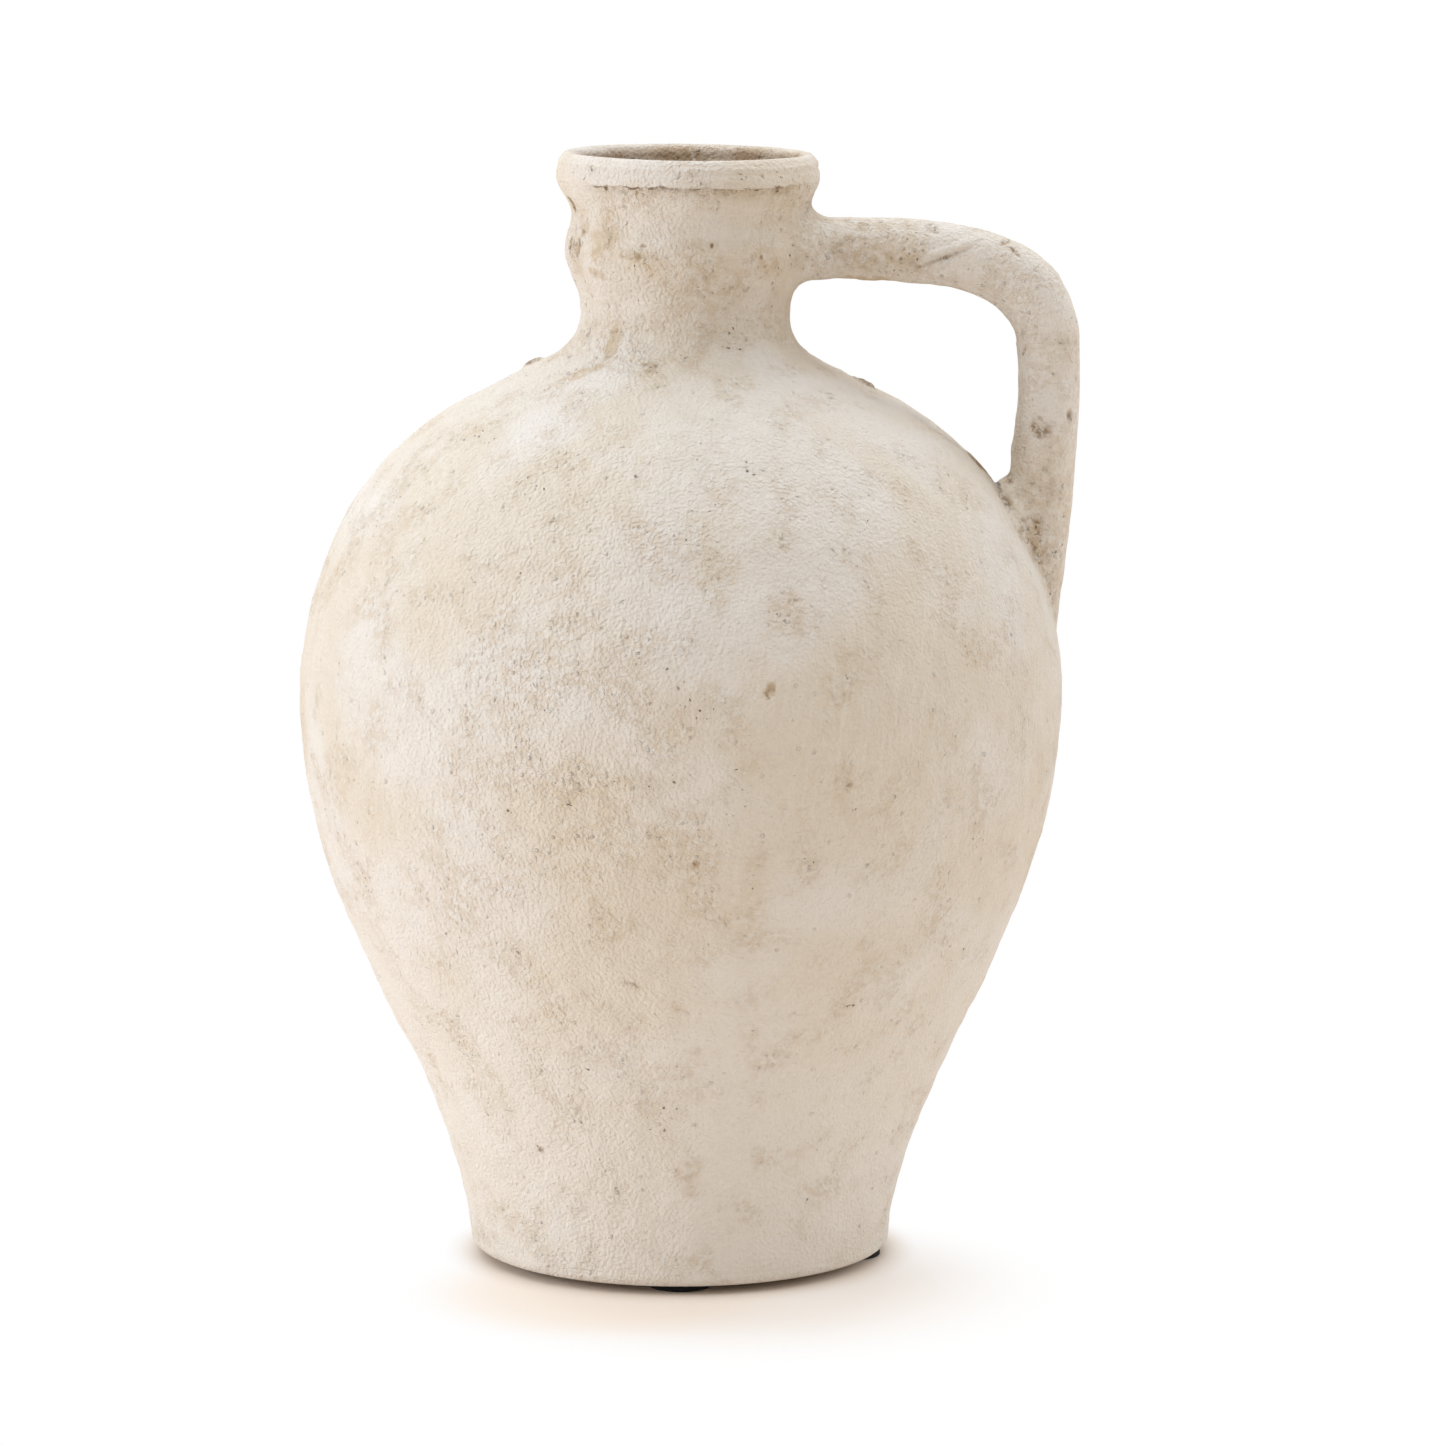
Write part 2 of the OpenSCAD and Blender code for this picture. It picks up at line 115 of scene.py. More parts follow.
# Marks on the outside that the maker's hands and tools left, in millimetres: the place on the skin,
# half length, half width, turn in degrees from level, lift, and the stain, hollow and roughness they bring.
skin_marks = [
    (-32, -101, 191, 27, 24, 20, 0.0, 0.06, 0.0, 0.8),
    (-49, -98, 160, 19, 25, 0, 0.0, 0.1, 0.0, 0.7),
    (-10, -109, 147, 9, 22, 20, 0.1, 0.13, 0.0, 1.0),
    (14, -91, 220, 34, 13, -10, 0.0, 0.03, 0.0, 0.35),
    (-62, -78, 208, 8, 8, 0, 0.3, 0.04, 0.0, 1.0),
    (-22, -77, 235, 11, 10, 0, 0.1, 0.02, 0.0, 0.5),
    (31, -97, 204, 13, 9, 30, 0.0, 0.1, 0.0, 0.6),
    (50, -98, 172, 5, 14, -15, 0.0, 0.17, 0.0, 0.4),
    (46, -99, 152, 7, 9, 20, 0.0, 0.17, 0.0, 0.6),
    (-22, -98, 113, 14, 14, 0, 0.1, 0.03, 0.0, 0.6),
    (-20, -86, 88, 18, 8, -30, 0.1, 0.07, 0.0, 0.6),
    (-22, -24, 297, 8, 9, 0, 0.1, 0.6, 0.0, 0.9),
    (3, -35, 294, 10, 6, 0, 0.0, 0.1, 0.0, 0.7),
    (23, -28, 290, 6, 6, 0, 0.0, 0.6, 0.0, 0.7),
    (-11, -34, 262, 12, 5, -10, 0.2, 0.07, 0.0, 0.9),
    (8, -33, 270, 12, 6, 20, 0.0, 0.07, 0.0, 0.4),
    (2, -36, 284, 24, 18, 0, 0.0, 0.45, 0.0, 0.0),
    (3, -37, 314, 20, 4, 0, 0.0, 0.2, 0.0, 0.0),
    (88.0, 4, 228, 9, 5, 0, 0.1, 1.3, 0.6, 0.9),
    (85.0, 1, 230.5, 7, 3.5, 0, 0.2, 1.5, 0.9, 1.0),
    (-18.8, -23.3, 268.0, 2.8, 5.2, 8, 0.0, 4.0, 0.0, 0.2),
    (-28.3, -29.9, 259.4, 6.0, 1.8, 20, -0.1, 1.3, 0.05, 0.2),
    (-20.7, -26.3, 263.8, 3.5, 1.2, 60, -0.1, 0.8, 0.0, 0.2),
    (-41.3, 7.0, 258.4, 3.0, 1.8, 10, 1.5, 0.8, 0.8, 0.0),
    (52.5, 11.0, 254.0, 2.8, 1.8, -35, 1.5, 0.8, 0.8, 0.0),
    (92.5, -9.0, 219.0, 4.0, 5.0, 0, 0.0, 0.9, 0.4, 0.8),
    (98.5, -10.0, 208.0, 3.0, 6.0, 0, 0.0, 0.7, 0.3, 0.8),
    (-29.0, -15.0, 292.0, 9.0, 12.0, 0, 0.0, 0.25, 0.0, 0.5),
    (-31.0, -9.0, 305.6, 3.0, 2.0, -60, -0.9, 1.4, 1.4, 0.3),
    (-27.3, -16.1, 299.4, 3.0, 2.5, 0, -0.3, 1.0, 0.3, 0.8),
    (-22.1, -24.1, 297.2, 2.5, 2.0, 0, 0.5, 0.4, 0.1, 0.8),
    (-29.6, -14.6, 293.3, 2.0, 3.0, 0, -0.3, 1.2, 0.4, 0.6),
    (-24.5, -21.0, 286.7, 4.0, 1.8, -15, -0.3, 0.9, 0.1, 0.5),
    (-13.0, -31.6, 292.8, 9.0, 2.0, 0, 0.3, 0.4, 0.2, 1.0),
    (-9.9, -35.5, 261.7, 3.5, 2.0, -15, 0.5, 0.4, 0.3, 1.0),
    (-31.1, -10.6, 293.5, 2.5, 4.5, 0, -0.3, 0.8, 0.3, 0.5),
    (6.9, -34.4, 295.8, 0.6, 0.6, 0, -0.6, 0.2, 1.5, 0.0),
    (-12.2, -31.6, 295.3, 1.6, 1.3, 0, -0.5, 0.2, 0.4, 0.3),
    (25.0, -105.5, 180.6, 1.6, 2.6, -20, -0.5, 1.4, 0.4, 0.2),
    (4.6, -106.1, 132.4, 1.2, 1.8, 20, -0.2, 1.2, 0.3, 0.3),
    (47.0, -99.0, 153.3, 1.2, 2.4, 5, -0.2, 1.2, 0.3, 0.3),
    (-24.2, -100.1, 120.1, 6.0, 3.4, 45, 0.6, 0.1, 0.0, 0.0),
    (-29.2, -70.1, 56.2, 1.4, 1.4, 0, 0.8, 0.2, 0.0, 0.0),
    (-18.2, -64.1, 31.9, 1.2, 1.8, 0, 0.4, 0.6, 0.2, 0.3),
    (-39.4, -58.0, 42.1, 1.2, 2.2, 25, -0.4, 0.3, 0.7, 0.0),
    (3.0, -67.8, 35.0, 4.5, 8.0, 10, -0.2, 0.4, 0.0, 0.6),
    (-12.9, -93.5, 96.5, 3.6, 1.2, -25, -0.5, 0.5, 0.3, 0.5),
    (0.4, -91.2, 89.0, 5.5, 1.4, -30, -0.4, 0.5, 0.12, 0.5),
]


def mark_shares(p, marks, facing=None):
    """How much of each mark there is at each point: one less the square of the place along it over its
    half length and of the place across it over its half width, with an edge frayed by noise. Along is
    level round the axis, or level across a side that faces one way."""
    fray = 0.5 * clay_lumps(p, 5 * MM, 91, 3) + 0.3 * clay_noise(p, 16 * MM, 95)
    for x, y, z, length, width, turn, *amounts in marks:
        away = p / MM - np.array([x, y, z])
        out_x, out_y = facing or np.array([x, y]) / np.hypot(x, y)
        level = away[..., 1] * out_x - away[..., 0] * out_y
        c, s = np.cos(np.radians(turn)), np.sin(np.radians(turn))
        along = (c * level + s * away[..., 2]) / length
        across = (c * away[..., 2] - s * level) / width
        close = np.linalg.norm(away, axis=-1) < 3 * max(length, width)
        yield step_up(-0.1, 1.2, 1 - along ** 2 - across ** 2 + fray) * close, amounts


# Broad swells of the hand-built body, in millimetres: the place, the reach and the lift. Level swells go
# all round: the height, the reach, the lift and the radius beyond which there is none.
body_swells = [(55, -5, 249, 20, -2.1), (-100, 0, 115, 30, 0.5)]
level_swells = [(157, 28, -0.3, 200), (226, 17, 1.2, 104), (253.5, 5, -1.1, 75)]
swell_fade = 10
skin_sunk = 0.15

# Where the rim has split from the neck, in degrees round the axis, and how far round the crack is open.
split_from, split_to, split_fade, crack_to = -134, -36, 8, -42

# Heights in millimetres: the crease under the rim, the lip's ridge and the groove below it. The crease
# mask is the height above the crease, cut off at its reach.
crease_z, ridge_z, lip_groove_z = 312, 317.4, 315.8
crease_reach = 4

# From which height to which one kind of skin gives way to the next, in millimetres.
smooth_low, dented_low = (112, 84), (120, 85)
rough_neck, warm_neck = (258, 270), (256, 274)
smooth_rim, plain_rim, warm_rim, even_lip = (306, 314), (308, 314), (309, 313), (312, 318)


def worked_skin(p, marks=skin_marks, facing=None):
    """How far the washed outside stands out from the plain turned shape, in metres, with its masks.
    The lift adds broad unevenness, soft swells, crusts of plaster with broken edges, raised crumbs and
    sunken pits, all stronger where the skin is rough, the marks, and the ledge where the rim's coil has
    split from the neck: below it the skin is sunk and crumbs hang from the edge. There the stain and
    hollow masks darken the skin and the crumbs brown, partly as stain and partly as painted shade under
    the ledge. The warm mask is the neck, whose wash is yellower."""
    x, y, z = np.moveaxis(p, -1, 0) / MM
    uneven = clay_lumps(p, 52 * MM, 1, 2)
    swells = clay_lumps(p, 16 * MM, 5, 2)
    crust = clay_lumps(p, 6.5 * MM, 11, 2)
    gathered = clay_noise(p, 12 * MM, 31)
    wiped_smooth = np.maximum(step_up(0, 55, x) * step_up(20, -50, y), step_up(*smooth_low, z))
    rough = 0.25 + 0.55 * step_up(-0.4, 0.8, clay_lumps(p, 40 * MM, 21, 3))
    rough = rough * (1 - 0.3 * wiped_smooth) + 0.3 * step_up(*rough_neck, z)
    rough = rough * (1 - 0.6 * step_up(*smooth_rim, z))
    crease = z - crease_z - 0.6 * clay_noise(p, 15 * MM, 75) - 0.35 * clay_noise(p, 4 * MM, 76)
    angle = np.degrees(np.arctan2(y, x))
    front = step_up(split_from - split_fade, split_from + split_fade, angle)
    front = front * step_up(split_to + split_fade, split_to - split_fade, angle)
    split = np.maximum(front, step_up(0.2, 0.5, clay_noise(p, 40 * MM, 72)) * (y > 0))
    ledge = split * step_up(0.3, -0.3, crease) * step_up(-6, -0.5, crease)
    at_edge = np.exp(-((crease + 0.8) / 1.1) ** 2) * split
    edge_crumbs = clay_spots(p, 2.6 * MM, 55, 0.4 * MM, 1.2 * MM) * at_edge
    lip_line = np.exp(-((z - ridge_z) / 0.5) ** 2) - np.exp(-((z - lip_groove_z) / 0.6) ** 2)
    # Under the ledge and on its crumbs the stain and hollow are partly painted shade beneath the overhang.
    stain = 0.05 + 0.45 * ledge + 0.8 * edge_crumbs
    hollow = 0.15 * ledge + 0.9 * edge_crumbs
    r = np.hypot(x, y)
    lift = 0.45 * uneven + (0.3 + 0.35 * step_up(*dented_low, z)) * swells
    lift = lift * (1 - 0.75 * step_up(*even_lip, z)) - skin_sunk
    for swell_z, reach, rise, far in level_swells:
        lift = lift + rise * np.exp(-((z - swell_z) / reach) ** 2) * step_up(far, far - swell_fade, r)
    lift = lift - 0.75 * ledge + 0.7 * edge_crumbs + 0.3 * lip_line * (0.6 + gathered)
    for swell_x, swell_y, swell_z, reach, rise in body_swells:
        away = ((x - swell_x) ** 2 + (y - swell_y) ** 2 + (z - swell_z) ** 2) / reach ** 2
        lift = lift + rise * np.exp(-away)
    for share, (rise, ochre, dark, coarse) in mark_shares(p, marks, facing):
        lift = lift + rise * share
        stain = stain + ochre * share
        hollow = hollow + dark * share
        rough = rough + coarse * share * (1 - rough)
    rough = rough * (0.4 + 0.6 * step_up(-0.3, 0.25, clay_noise(p, 14 * MM, 33)))
    pits = np.clip(clay_spots(p, 6.5 * MM, 41, 1.3 * MM, 2.8 * MM), 0, 1) * step_up(-0.15, 0.3, gathered)
    crumbs = np.clip(clay_spots(p, 6 * MM, 51, 1.3 * MM, 2.8 * MM), 0, 1) * step_up(0.15, -0.3, gathered)
    coarse_lift = (0.05 + 0.24 * rough) * crust + 0.12 * rough * step_up(-0.1, 0.3, crust)
    coarse_lift = coarse_lift + (0.12 + 0.65 * rough ** 2) * (crumbs - pits)
    lift = lift + coarse_lift * (1 - 0.7 * step_up(*plain_rim, z))
    stain = stain + 0.1 * rough * step_up(0.1, -0.4, crust)
    hollow = hollow + 0.2 * rough * pits
    warm = step_up(*warm_neck, z) * (1 - 0.5 * step_up(*warm_rim, z))
    crease = np.where(angle * split < crack_to, np.clip(crease, -crease_reach, crease_reach),
                      crease_reach * np.sign(crease))
    return lift * MM, {"stain": stain, "hollow": hollow, "rough": rough, "wash": np.ones_like(lift),
                       "warm": warm, "crease": crease}


lean_by, lean_from, lean_to = 2.4 * MM, 0.228, 0.298
dip, dip_from, dip_to, dip_zero = 0.011, 0.285, 0.312, 0.0377


def leaned(p):
    """The neck's lean: points move along X by a smooth step of their height, and the rim dips
    towards the handle in proportion to X."""
    x, y, z = np.moveaxis(p, -1, 0)
    moved = x + lean_by * step_up(lean_from, lean_to, z)
    dipped = z - dip * (x + dip_zero) * step_up(dip_from, dip_to, z)
    return np.stack([moved, y, dipped], axis=-1)


def upright(p):
    """Takes the lean out of points again: the same steps with the opposite sign."""
    x, y, z = np.moveaxis(p, -1, 0)
    moved = x - lean_by * step_up(lean_from, lean_to, z)
    raised = z + dip * (moved + dip_zero) * step_up(dip_from, dip_to, z)
    return np.stack([moved, y, raised], axis=-1)


def even_rows(line, rows):
    """The same line of points, respaced evenly along its length."""
    line = np.asarray(line, float)
    along = np.append(0, np.cumsum(np.linalg.norm(np.diff(line, axis=0), axis=1)))
    at = np.linspace(0, along[-1], rows)
    return np.stack([np.interp(at, along, line[:, k]) for k in range(line.shape[1])], axis=1)


def turned(line):
    """A line of (radius, height) points turned round the axis: x and y are the radius times the
    cosine and sine of each angle."""
    r, z = line[:, :1], line[:, 1:]
    return np.stack([r * np.cos(angles), r * np.sin(angles), z + 0 * angles], axis=-1)


def grid_normals(p):
    """Unit normals of a grid that closes on itself along its columns: the difference between the
    neighbours in the row, crossed with that between the neighbours in the column."""
    n = np.cross(np.roll(p, -1, axis=1) - np.roll(p, 1, axis=1), np.gradient(p, axis=0))
    return n / np.linalg.norm(n, axis=-1, keepdims=True)


def turned_clay(line, skin):
    """A strip of clay surface: the line turned round, lifted by its skin along its own normals and
    leaned. One more row at each end, straight on, makes the normals match the next piece's."""
    line = np.vstack([2 * line[0] - line[1], line, 2 * line[-1] - line[-2]])
    along = np.gradient(line, axis=0)
    out = np.stack([along[:, 1], -along[:, 0]], axis=1) / np.linalg.norm(along, axis=1, keepdims=True)
    p = turned(line)
    lift, masks = skin(p)
    p = leaned(p + turned(out) * lift[..., None])
    return p[1:-1], grid_normals(p)[1:-1], {name: m[1:-1] for name, m in masks.items()}


def clay_piece(name, strips, ring):
    """One closed mesh from strips of rows. Rows follow each other from strip to strip, with a sharp
    edge at each change, and either close into a ring or end in a fan of triangles at each end."""
    points, normals = (np.concatenate([s[k] for s in strips]) for k in (0, 1))
    rows, across = points.shape[:2]
    last_rows = np.cumsum([len(s[0]) for s in strips]) - 1
    row = np.arange(rows if ring else rows - 1)[:, None]
    col = np.arange(across)[None, :]
    above, beside = (row + 1) % rows, (col + 1) % across
    quads = np.stack([row * across + col, row * across + beside, above * across + beside,
                      above * across + col], axis=-1)
    points, normals = points.reshape(-1, 3), normals.reshape(-1, 3)
    corner_normals = normals[quads]
    joints = [k for k in last_rows if k < len(quads)]
    flat = np.cross(points[quads[joints, :, 2]] - points[quads[joints, :, 0]],
                    points[quads[joints, :, 3]] - points[quads[joints, :, 1]])
    flat /= np.maximum(np.linalg.norm(flat, axis=-1, keepdims=True), 1e-12)
    corner_normals[joints] = flat[:, :, None, :]
    quads, corner_normals = quads.reshape(-1, 4), corner_normals.reshape(-1, 3)
    masks = {key: np.concatenate([s[2][key] for s in strips]).ravel() for key in strips[0][2]}
    fans = np.empty((0, 3), int)
    if not ring:
        ends = np.stack([points[:across].mean(axis=0), points[-across:].mean(axis=0)])
        first, second = col[0], beside[0]
        hub = len(points)
        fans = np.concatenate([np.stack([0 * first + hub, second, first], axis=1),
                               np.stack([0 * first + hub + 1, first + hub - across,
                                         second + hub - across], axis=1)])
        points = np.concatenate([points, ends])
        masks = {key: np.append(m, [m[0], m[-1]]) for key, m in masks.items()}
        flat = np.cross(points[fans[:, 1]] - points[fans[:, 0]], points[fans[:, 2]] - points[fans[:, 0]])
        flat /= np.maximum(np.linalg.norm(flat, axis=-1, keepdims=True), 1e-12)
        corner_normals = np.concatenate([corner_normals, np.repeat(flat, 3, axis=0)])
    mesh = bpy.data.meshes.new(name)
    mesh.vertices.add(len(points))
    mesh.vertices.foreach_set("co", points.astype(np.float32).ravel())
    mesh.loops.add(quads.size + fans.size)
    mesh.loops.foreach_set("vertex_index", np.append(quads.ravel(), fans.ravel()).astype(np.int32))
    mesh.polygons.add(len(quads) + len(fans))
    starts = np.append(4 * np.arange(len(quads)), quads.size + 3 * np.arange(len(fans)))
    mesh.polygons.foreach_set("loop_start", starts.astype(np.int32))
    mesh.update(calc_edges=True)
    mesh.shade_smooth()
    mesh.normals_split_custom_set(corner_normals)
    for key, mask in masks.items():
        mesh.attributes.new(key, "FLOAT", "POINT").data.foreach_set("value", mask.astype(np.float32))
    piece = bpy.data.objects.new(name, mesh)
    bpy.context.scene.collection.objects.link(piece)
    return piece


def put(tree, kind, *ins, **given):
    """Adds a node. A name that the node has is a setting and any other is an input; an input takes a
    value or another node's output, and the plain arguments fill the inputs in order."""
    made = tree.nodes.new("ShaderNode" + kind)
    sockets = dict(enumerate(ins))
    for name, value in given.items():
        if hasattr(made, name):
            setattr(made, name, value)
        else:
            sockets[name.replace("_", " ")] = value
    for key, value in sockets.items():
        if isinstance(value, bpy.types.NodeSocket):
            tree.links.new(value, made.inputs[key])
        elif value is not None:
            made.inputs[key].default_value = value
    return made


def tone(code):
    """A colour written as six hex digits, as linear red, green, blue and full alpha."""
    c = np.array([int(code[k:k + 2], 16) for k in (0, 2, 4)]) / 255
    return (*np.where(c <= 0.04045, c / 12.92, ((c + 0.055) / 1.055) ** 2.4), 1)


def sums(tree, how, a, b):
    """The result of one Math node."""
    return put(tree, "Math", a, b, operation=how).outputs[0]


def times(tree, a, b):
    """The product of two values."""
    return sums(tree, "MULTIPLY", a, b)


def plus(tree, base, layer, amount):
    """A value with so much of another laid on it."""
    return put(tree, "Math", layer, amount, base, operation="MULTIPLY_ADD").outputs[0]


def over(tree, share, under, top):
    """Lays one colour over another where the share is high."""
    mix = put(tree, "Mix", share, data_type="RGBA")
    for key, value in ((6, under), (7, top)):
        if isinstance(value, bpy.types.NodeSocket):
            tree.links.new(value, mix.inputs[key])
        else:
            mix.inputs[key].default_value = value
    return mix.outputs[2]


def between(tree, value, low, high, bottom=0.0, top=1.0):
    """A smooth step of a value from low to high, put out from bottom to top."""
    made = put(tree, "MapRange", value, low, high, bottom, top, interpolation_type="SMOOTHSTEP")
    return made.outputs[0]


def noise(tree, where, scale, detail=2.0, rough=0.5, bend=0.0):
    """The value of a noise with so many lumps to the metre."""
    made = put(tree, "TexNoise", Vector=where, Scale=scale, Detail=detail, Roughness=rough, Distortion=bend)
    return made.outputs["Fac"]


def strokes(tree, where, turn, across, along):
    """Noise drawn out into strokes: the place is turned about Y, then scaled more across than along."""
    turned_place = put(tree, "Mapping", Vector=where, Rotation=(0, np.radians(turn), 0)).outputs[0]
    drawn = put(tree, "Mapping", Vector=turned_place, Scale=(along, along, across)).outputs[0]
    return noise(tree, drawn, 1, 2, 0.5)


def new_group(name, takes, gives):
    """A node group with a value input for each name in takes and a value output for each in gives."""
    tree = bpy.data.node_groups.new(name, "ShaderNodeTree")
    for key, value in takes.items():
        tree.interface.new_socket(key, in_out="INPUT", socket_type="NodeSocketFloat").default_value = value
    for key in gives:
        tree.interface.new_socket(key, in_out="OUTPUT", socket_type="NodeSocketFloat")
    where = put(tree, "TexCoord").outputs["Object"]
    return tree, tree.nodes.new("NodeGroupInput").outputs, tree.nodes.new("NodeGroupOutput").inputs, where


def cell_spots(tree, where, cells, largest, flat):
    """Round spots, one in each cell of so many to the metre: a spot fills the middle of its cell up to a
    random reach, given as a share of the cell, is flat up to a share of that reach, and is as much lower
    as its reach is smaller."""
    made = put(tree, "TexVoronoi", Vector=where, Scale=cells).outputs
    size = put(tree, "SeparateColor", made["Color"]).outputs[0]
    reach = between(tree, size, 0.3, 1, 0.02, largest)
    spot = between(tree, made["Distance"], reach, times(tree, reach, flat))
    return times(tree, spot, sums(tree, "DIVIDE", reach, largest))


def plaster_grain():
    """Grain of the plastered skin: fine sand, soft dabs and single crumbs all over and, in clusters that
    grow where it is rough, flakes of plaster, more crumbs, pits with frayed edges and a few deep holes, and
    their height in millimetres. Low is high between the flakes of a cluster."""
    tree, takes, gives, where = new_group("plaster_grain", {"Rough": 0.5}, ("Low", "Pit", "Deep", "Height"))
    rough = takes["Rough"]
    clumps = plus(tree, noise(tree, where, 80, 2, 0.5), rough, 0.3)
    cluster = between(tree, clumps, 0.52, 0.77, 0.02, 1)
    spread = between(tree, clumps, 0.52, 0.77, 0.12, 1)
    fray = put(tree, "TexNoise", Vector=where, Scale=900, Detail=1.0).outputs["Color"]
    fray = put(tree, "VectorMath", fray, operation="SCALE", Scale=0.8 * MM).outputs[0]
    frayed = put(tree, "VectorMath", where, fray, operation="ADD").outputs[0]
    sand = noise(tree, where, 1000, 1, 0.5)
    dabs = noise(tree, where, 110, 1, 0.5, 0.6)
    flakes = between(tree, noise(tree, where, 430, 2, 0.5), 0.42, 0.6)
    crumbs = times(tree, cell_spots(tree, frayed, 520, 0.46, 0.1), cluster)
    crumbs = sums(tree, "MAXIMUM", crumbs, cell_spots(tree, frayed, 210, 0.19, 0.1))
    pit = times(tree, cell_spots(tree, frayed, 300, 0.18, 0.35), spread)
    low = times(tree, sums(tree, "SUBTRACT", 1.0, flakes), cluster)
    gathered = plus(tree, noise(tree, where, 85, 2), rough, 0.14)
    deep = times(tree, between(tree, noise(tree, frayed, 700, 1), 0.3, 0.24),
                 between(tree, gathered, 0.63, 0.73))
    height = times(tree, sand, between(tree, cluster, 0, 1, 0.7, 0.9))
    for layer, rise in ((dabs, 0.5), (low, -0.1), (crumbs, 0.6), (pit, -0.45), (deep, -0.5)):
        height = plus(tree, height, layer, rise)
    for key, made in {"Low": low, "Pit": pit, "Deep": deep, "Height": height}.items():
        tree.links.new(made, gives[key])
    return tree


grain_group = plaster_grain()


def new_finish(name):
    """An empty material, its node tree and the place on the piece."""
    material = bpy.data.materials.new(name)
    material.use_nodes = True
    material.node_tree.nodes.clear()
    return material, material.node_tree, put(material.node_tree, "TexCoord").outputs["Object"]


def chalk_clay():
    """Fired clay under a brushed chalk wash. Cream and white wash drift into each other, yellower on
    the neck. Towards the foot the wash is painted whiter, as painted light for the light that the floor
    bounces up. Strokes of wash cross them, level on the neck, slanting below and upright between, and
    stand out most where the wash is white. Worn places and the low places of rough skin are beige, the
    stain mask brings ochre, hollows and pits show brown clay, and deep holes are painted near black as
    painted shade inside them. A broken crack follows the crease, painted dark as the shade in it. Where
    the wash mask falls, the bare clay shows."""
    material, tree, where = new_finish("chalk_clay")
    masks = {key: put(tree, "Attribute", attribute_name=key).outputs["Fac"]
             for key in ("stain", "hollow", "rough", "wash", "warm", "crease")}
    rough = masks["rough"]
    grain = put(tree, "Group", node_tree=grain_group)
    tree.links.new(rough, grain.inputs["Rough"])
    grain = grain.outputs
    drift = noise(tree, where, 21, 1, 0.5, 0.6)
    patch = noise(tree, where, 85, 3, 0.55, 0.4)
    flecks = noise(tree, where, 330, 3, 0.6)
    bends = put(tree, "TexNoise", Vector=where, Scale=13, Detail=2.0).outputs["Color"]
    bends = put(tree, "VectorMath", bends, operation="SCALE", Scale=0.04).outputs[0]
    bent = put(tree, "VectorMath", where, bends, operation="ADD").outputs[0]
    height = put(tree, "SeparateXYZ", where).outputs[2]
    upper = between(tree, height, 0.24, 0.27)
    lower = between(tree, height, 0.14, 0.08)
    stroke = strokes(tree, bent, 90, 650, 32)
    stroke = put(tree, "Mix", lower, None, stroke, strokes(tree, bent, 42, 700, 40)).outputs[0]
    stroke = put(tree, "Mix", upper, None, stroke, strokes(tree, bent, 0, 700, 36)).outputs[0]
    mottled = between(tree, sums(tree, "ADD", flecks, patch), 0.8, 1.2, 0.3, 1.3)
    stained = times(tree, masks["stain"], mottled)
    ochre = over(tree, between(tree, noise(tree, where, 55, 2), 0.4, 0.6), tone("B79E78"), tone("C09F6C"))
    sunk = times(tree, masks["hollow"], between(tree, flecks, 0.35, 0.6, 0.4, 1.2))
    specks = between(tree, noise(tree, where, 560, 3, 0.6), 0.47, 0.41)
    specks = times(tree, specks, between(tree, masks["hollow"], 0.02, 0.3, 0, 0.55))
    # The crack's dark coat is painted shade, for the shade inside the crack under the rim; its bump is a
    # real groove.
    frayed = plus(tree, masks["crease"], sums(tree, "SUBTRACT", flecks, 0.5), 2.4)
    torn = between(tree, noise(tree, where, 150, 4, 0.75), 0.44, 0.58)
    crack = between(tree, sums(tree, "ABSOLUTE", frayed, 0), 0.1, 0.6, 1, 0)
    crack = times(tree, crack, torn)
    coats = [
        (between(tree, patch, 0.44, 0.74, 0, 0.17), tone("C9B79E")),
        # Painted light: the wash turns whiter towards the foot, standing in for light bounced up from the
        # floor.
        (between(tree, height, 0.13, 0.03, 0, 0.75), tone("E7E2DB")),
        (times(tree, masks["warm"], 0.13), tone("C0A680")),
        (between(tree, stroke, 0.45, 0.7, 0, 0.25), tone("E5DFD7")),
        (times(tree, grain["Low"], 0.25), tone("BFA47E")),
        (between(tree, stained, -0.08, 1.0, 0, 0.48), ochre),
        (between(tree, sunk, -0.05, 0.9, 0, 0.7), tone("80644A")),
        (times(tree, grain["Pit"], 0.45), tone("8A6D46")),
        (specks, tone("7A6040")),
        # Painted shade: the crack is darkened for the shade inside it.
        (times(tree, crack, 0.75), tone("75593C")),
        # Painted shade: deep holes are coloured near black, darker than the bare clay, for the shade inside
        # them.
        (times(tree, grain["Deep"], 0.75), tone("4A3A28")),
    ]
    colour = over(tree, between(tree, drift, 0.36, 0.64), tone("DBD1C3"), tone("E0DAD3"))
    for share, coat in coats:
        colour = over(tree, share, colour, coat)
    cover = between(tree, sums(tree, "ADD", masks["wash"], sums(tree, "SUBTRACT", patch, 0.5)), 0.2, 0.8)
    colour = over(tree, cover, tone("A98E70"), colour)
    brushed = times(tree, stroke, between(tree, drift, 0.42, 0.62, 0.08, 0.3))
    relief = sums(tree, "ADD", grain["Height"], brushed)
    relief = plus(tree, plus(tree, relief, crack, -0.4), specks, -0.3)
    bump = put(tree, "Bump", Strength=1.0, Distance=MM, Height=relief).outputs[0]
    shader = put(tree, "BsdfPrincipled", Base_Color=colour, Normal=bump, Roughness=0.92,
                 Specular_IOR_Level=0.2)
    put(tree, "OutputMaterial", shader.outputs[0])
    return material


chalk = chalk_clay()
turn = np.linspace(0, np.pi / 2, 24)
edge_line = np.stack([foot_r - edge_round * (1 - np.sin(turn)),
                      base_z + edge_round * (1 - np.cos(turn))], axis=1)
under_line = np.vstack([[middle_r, base_z], edge_line, [foot_r, foot_z]])


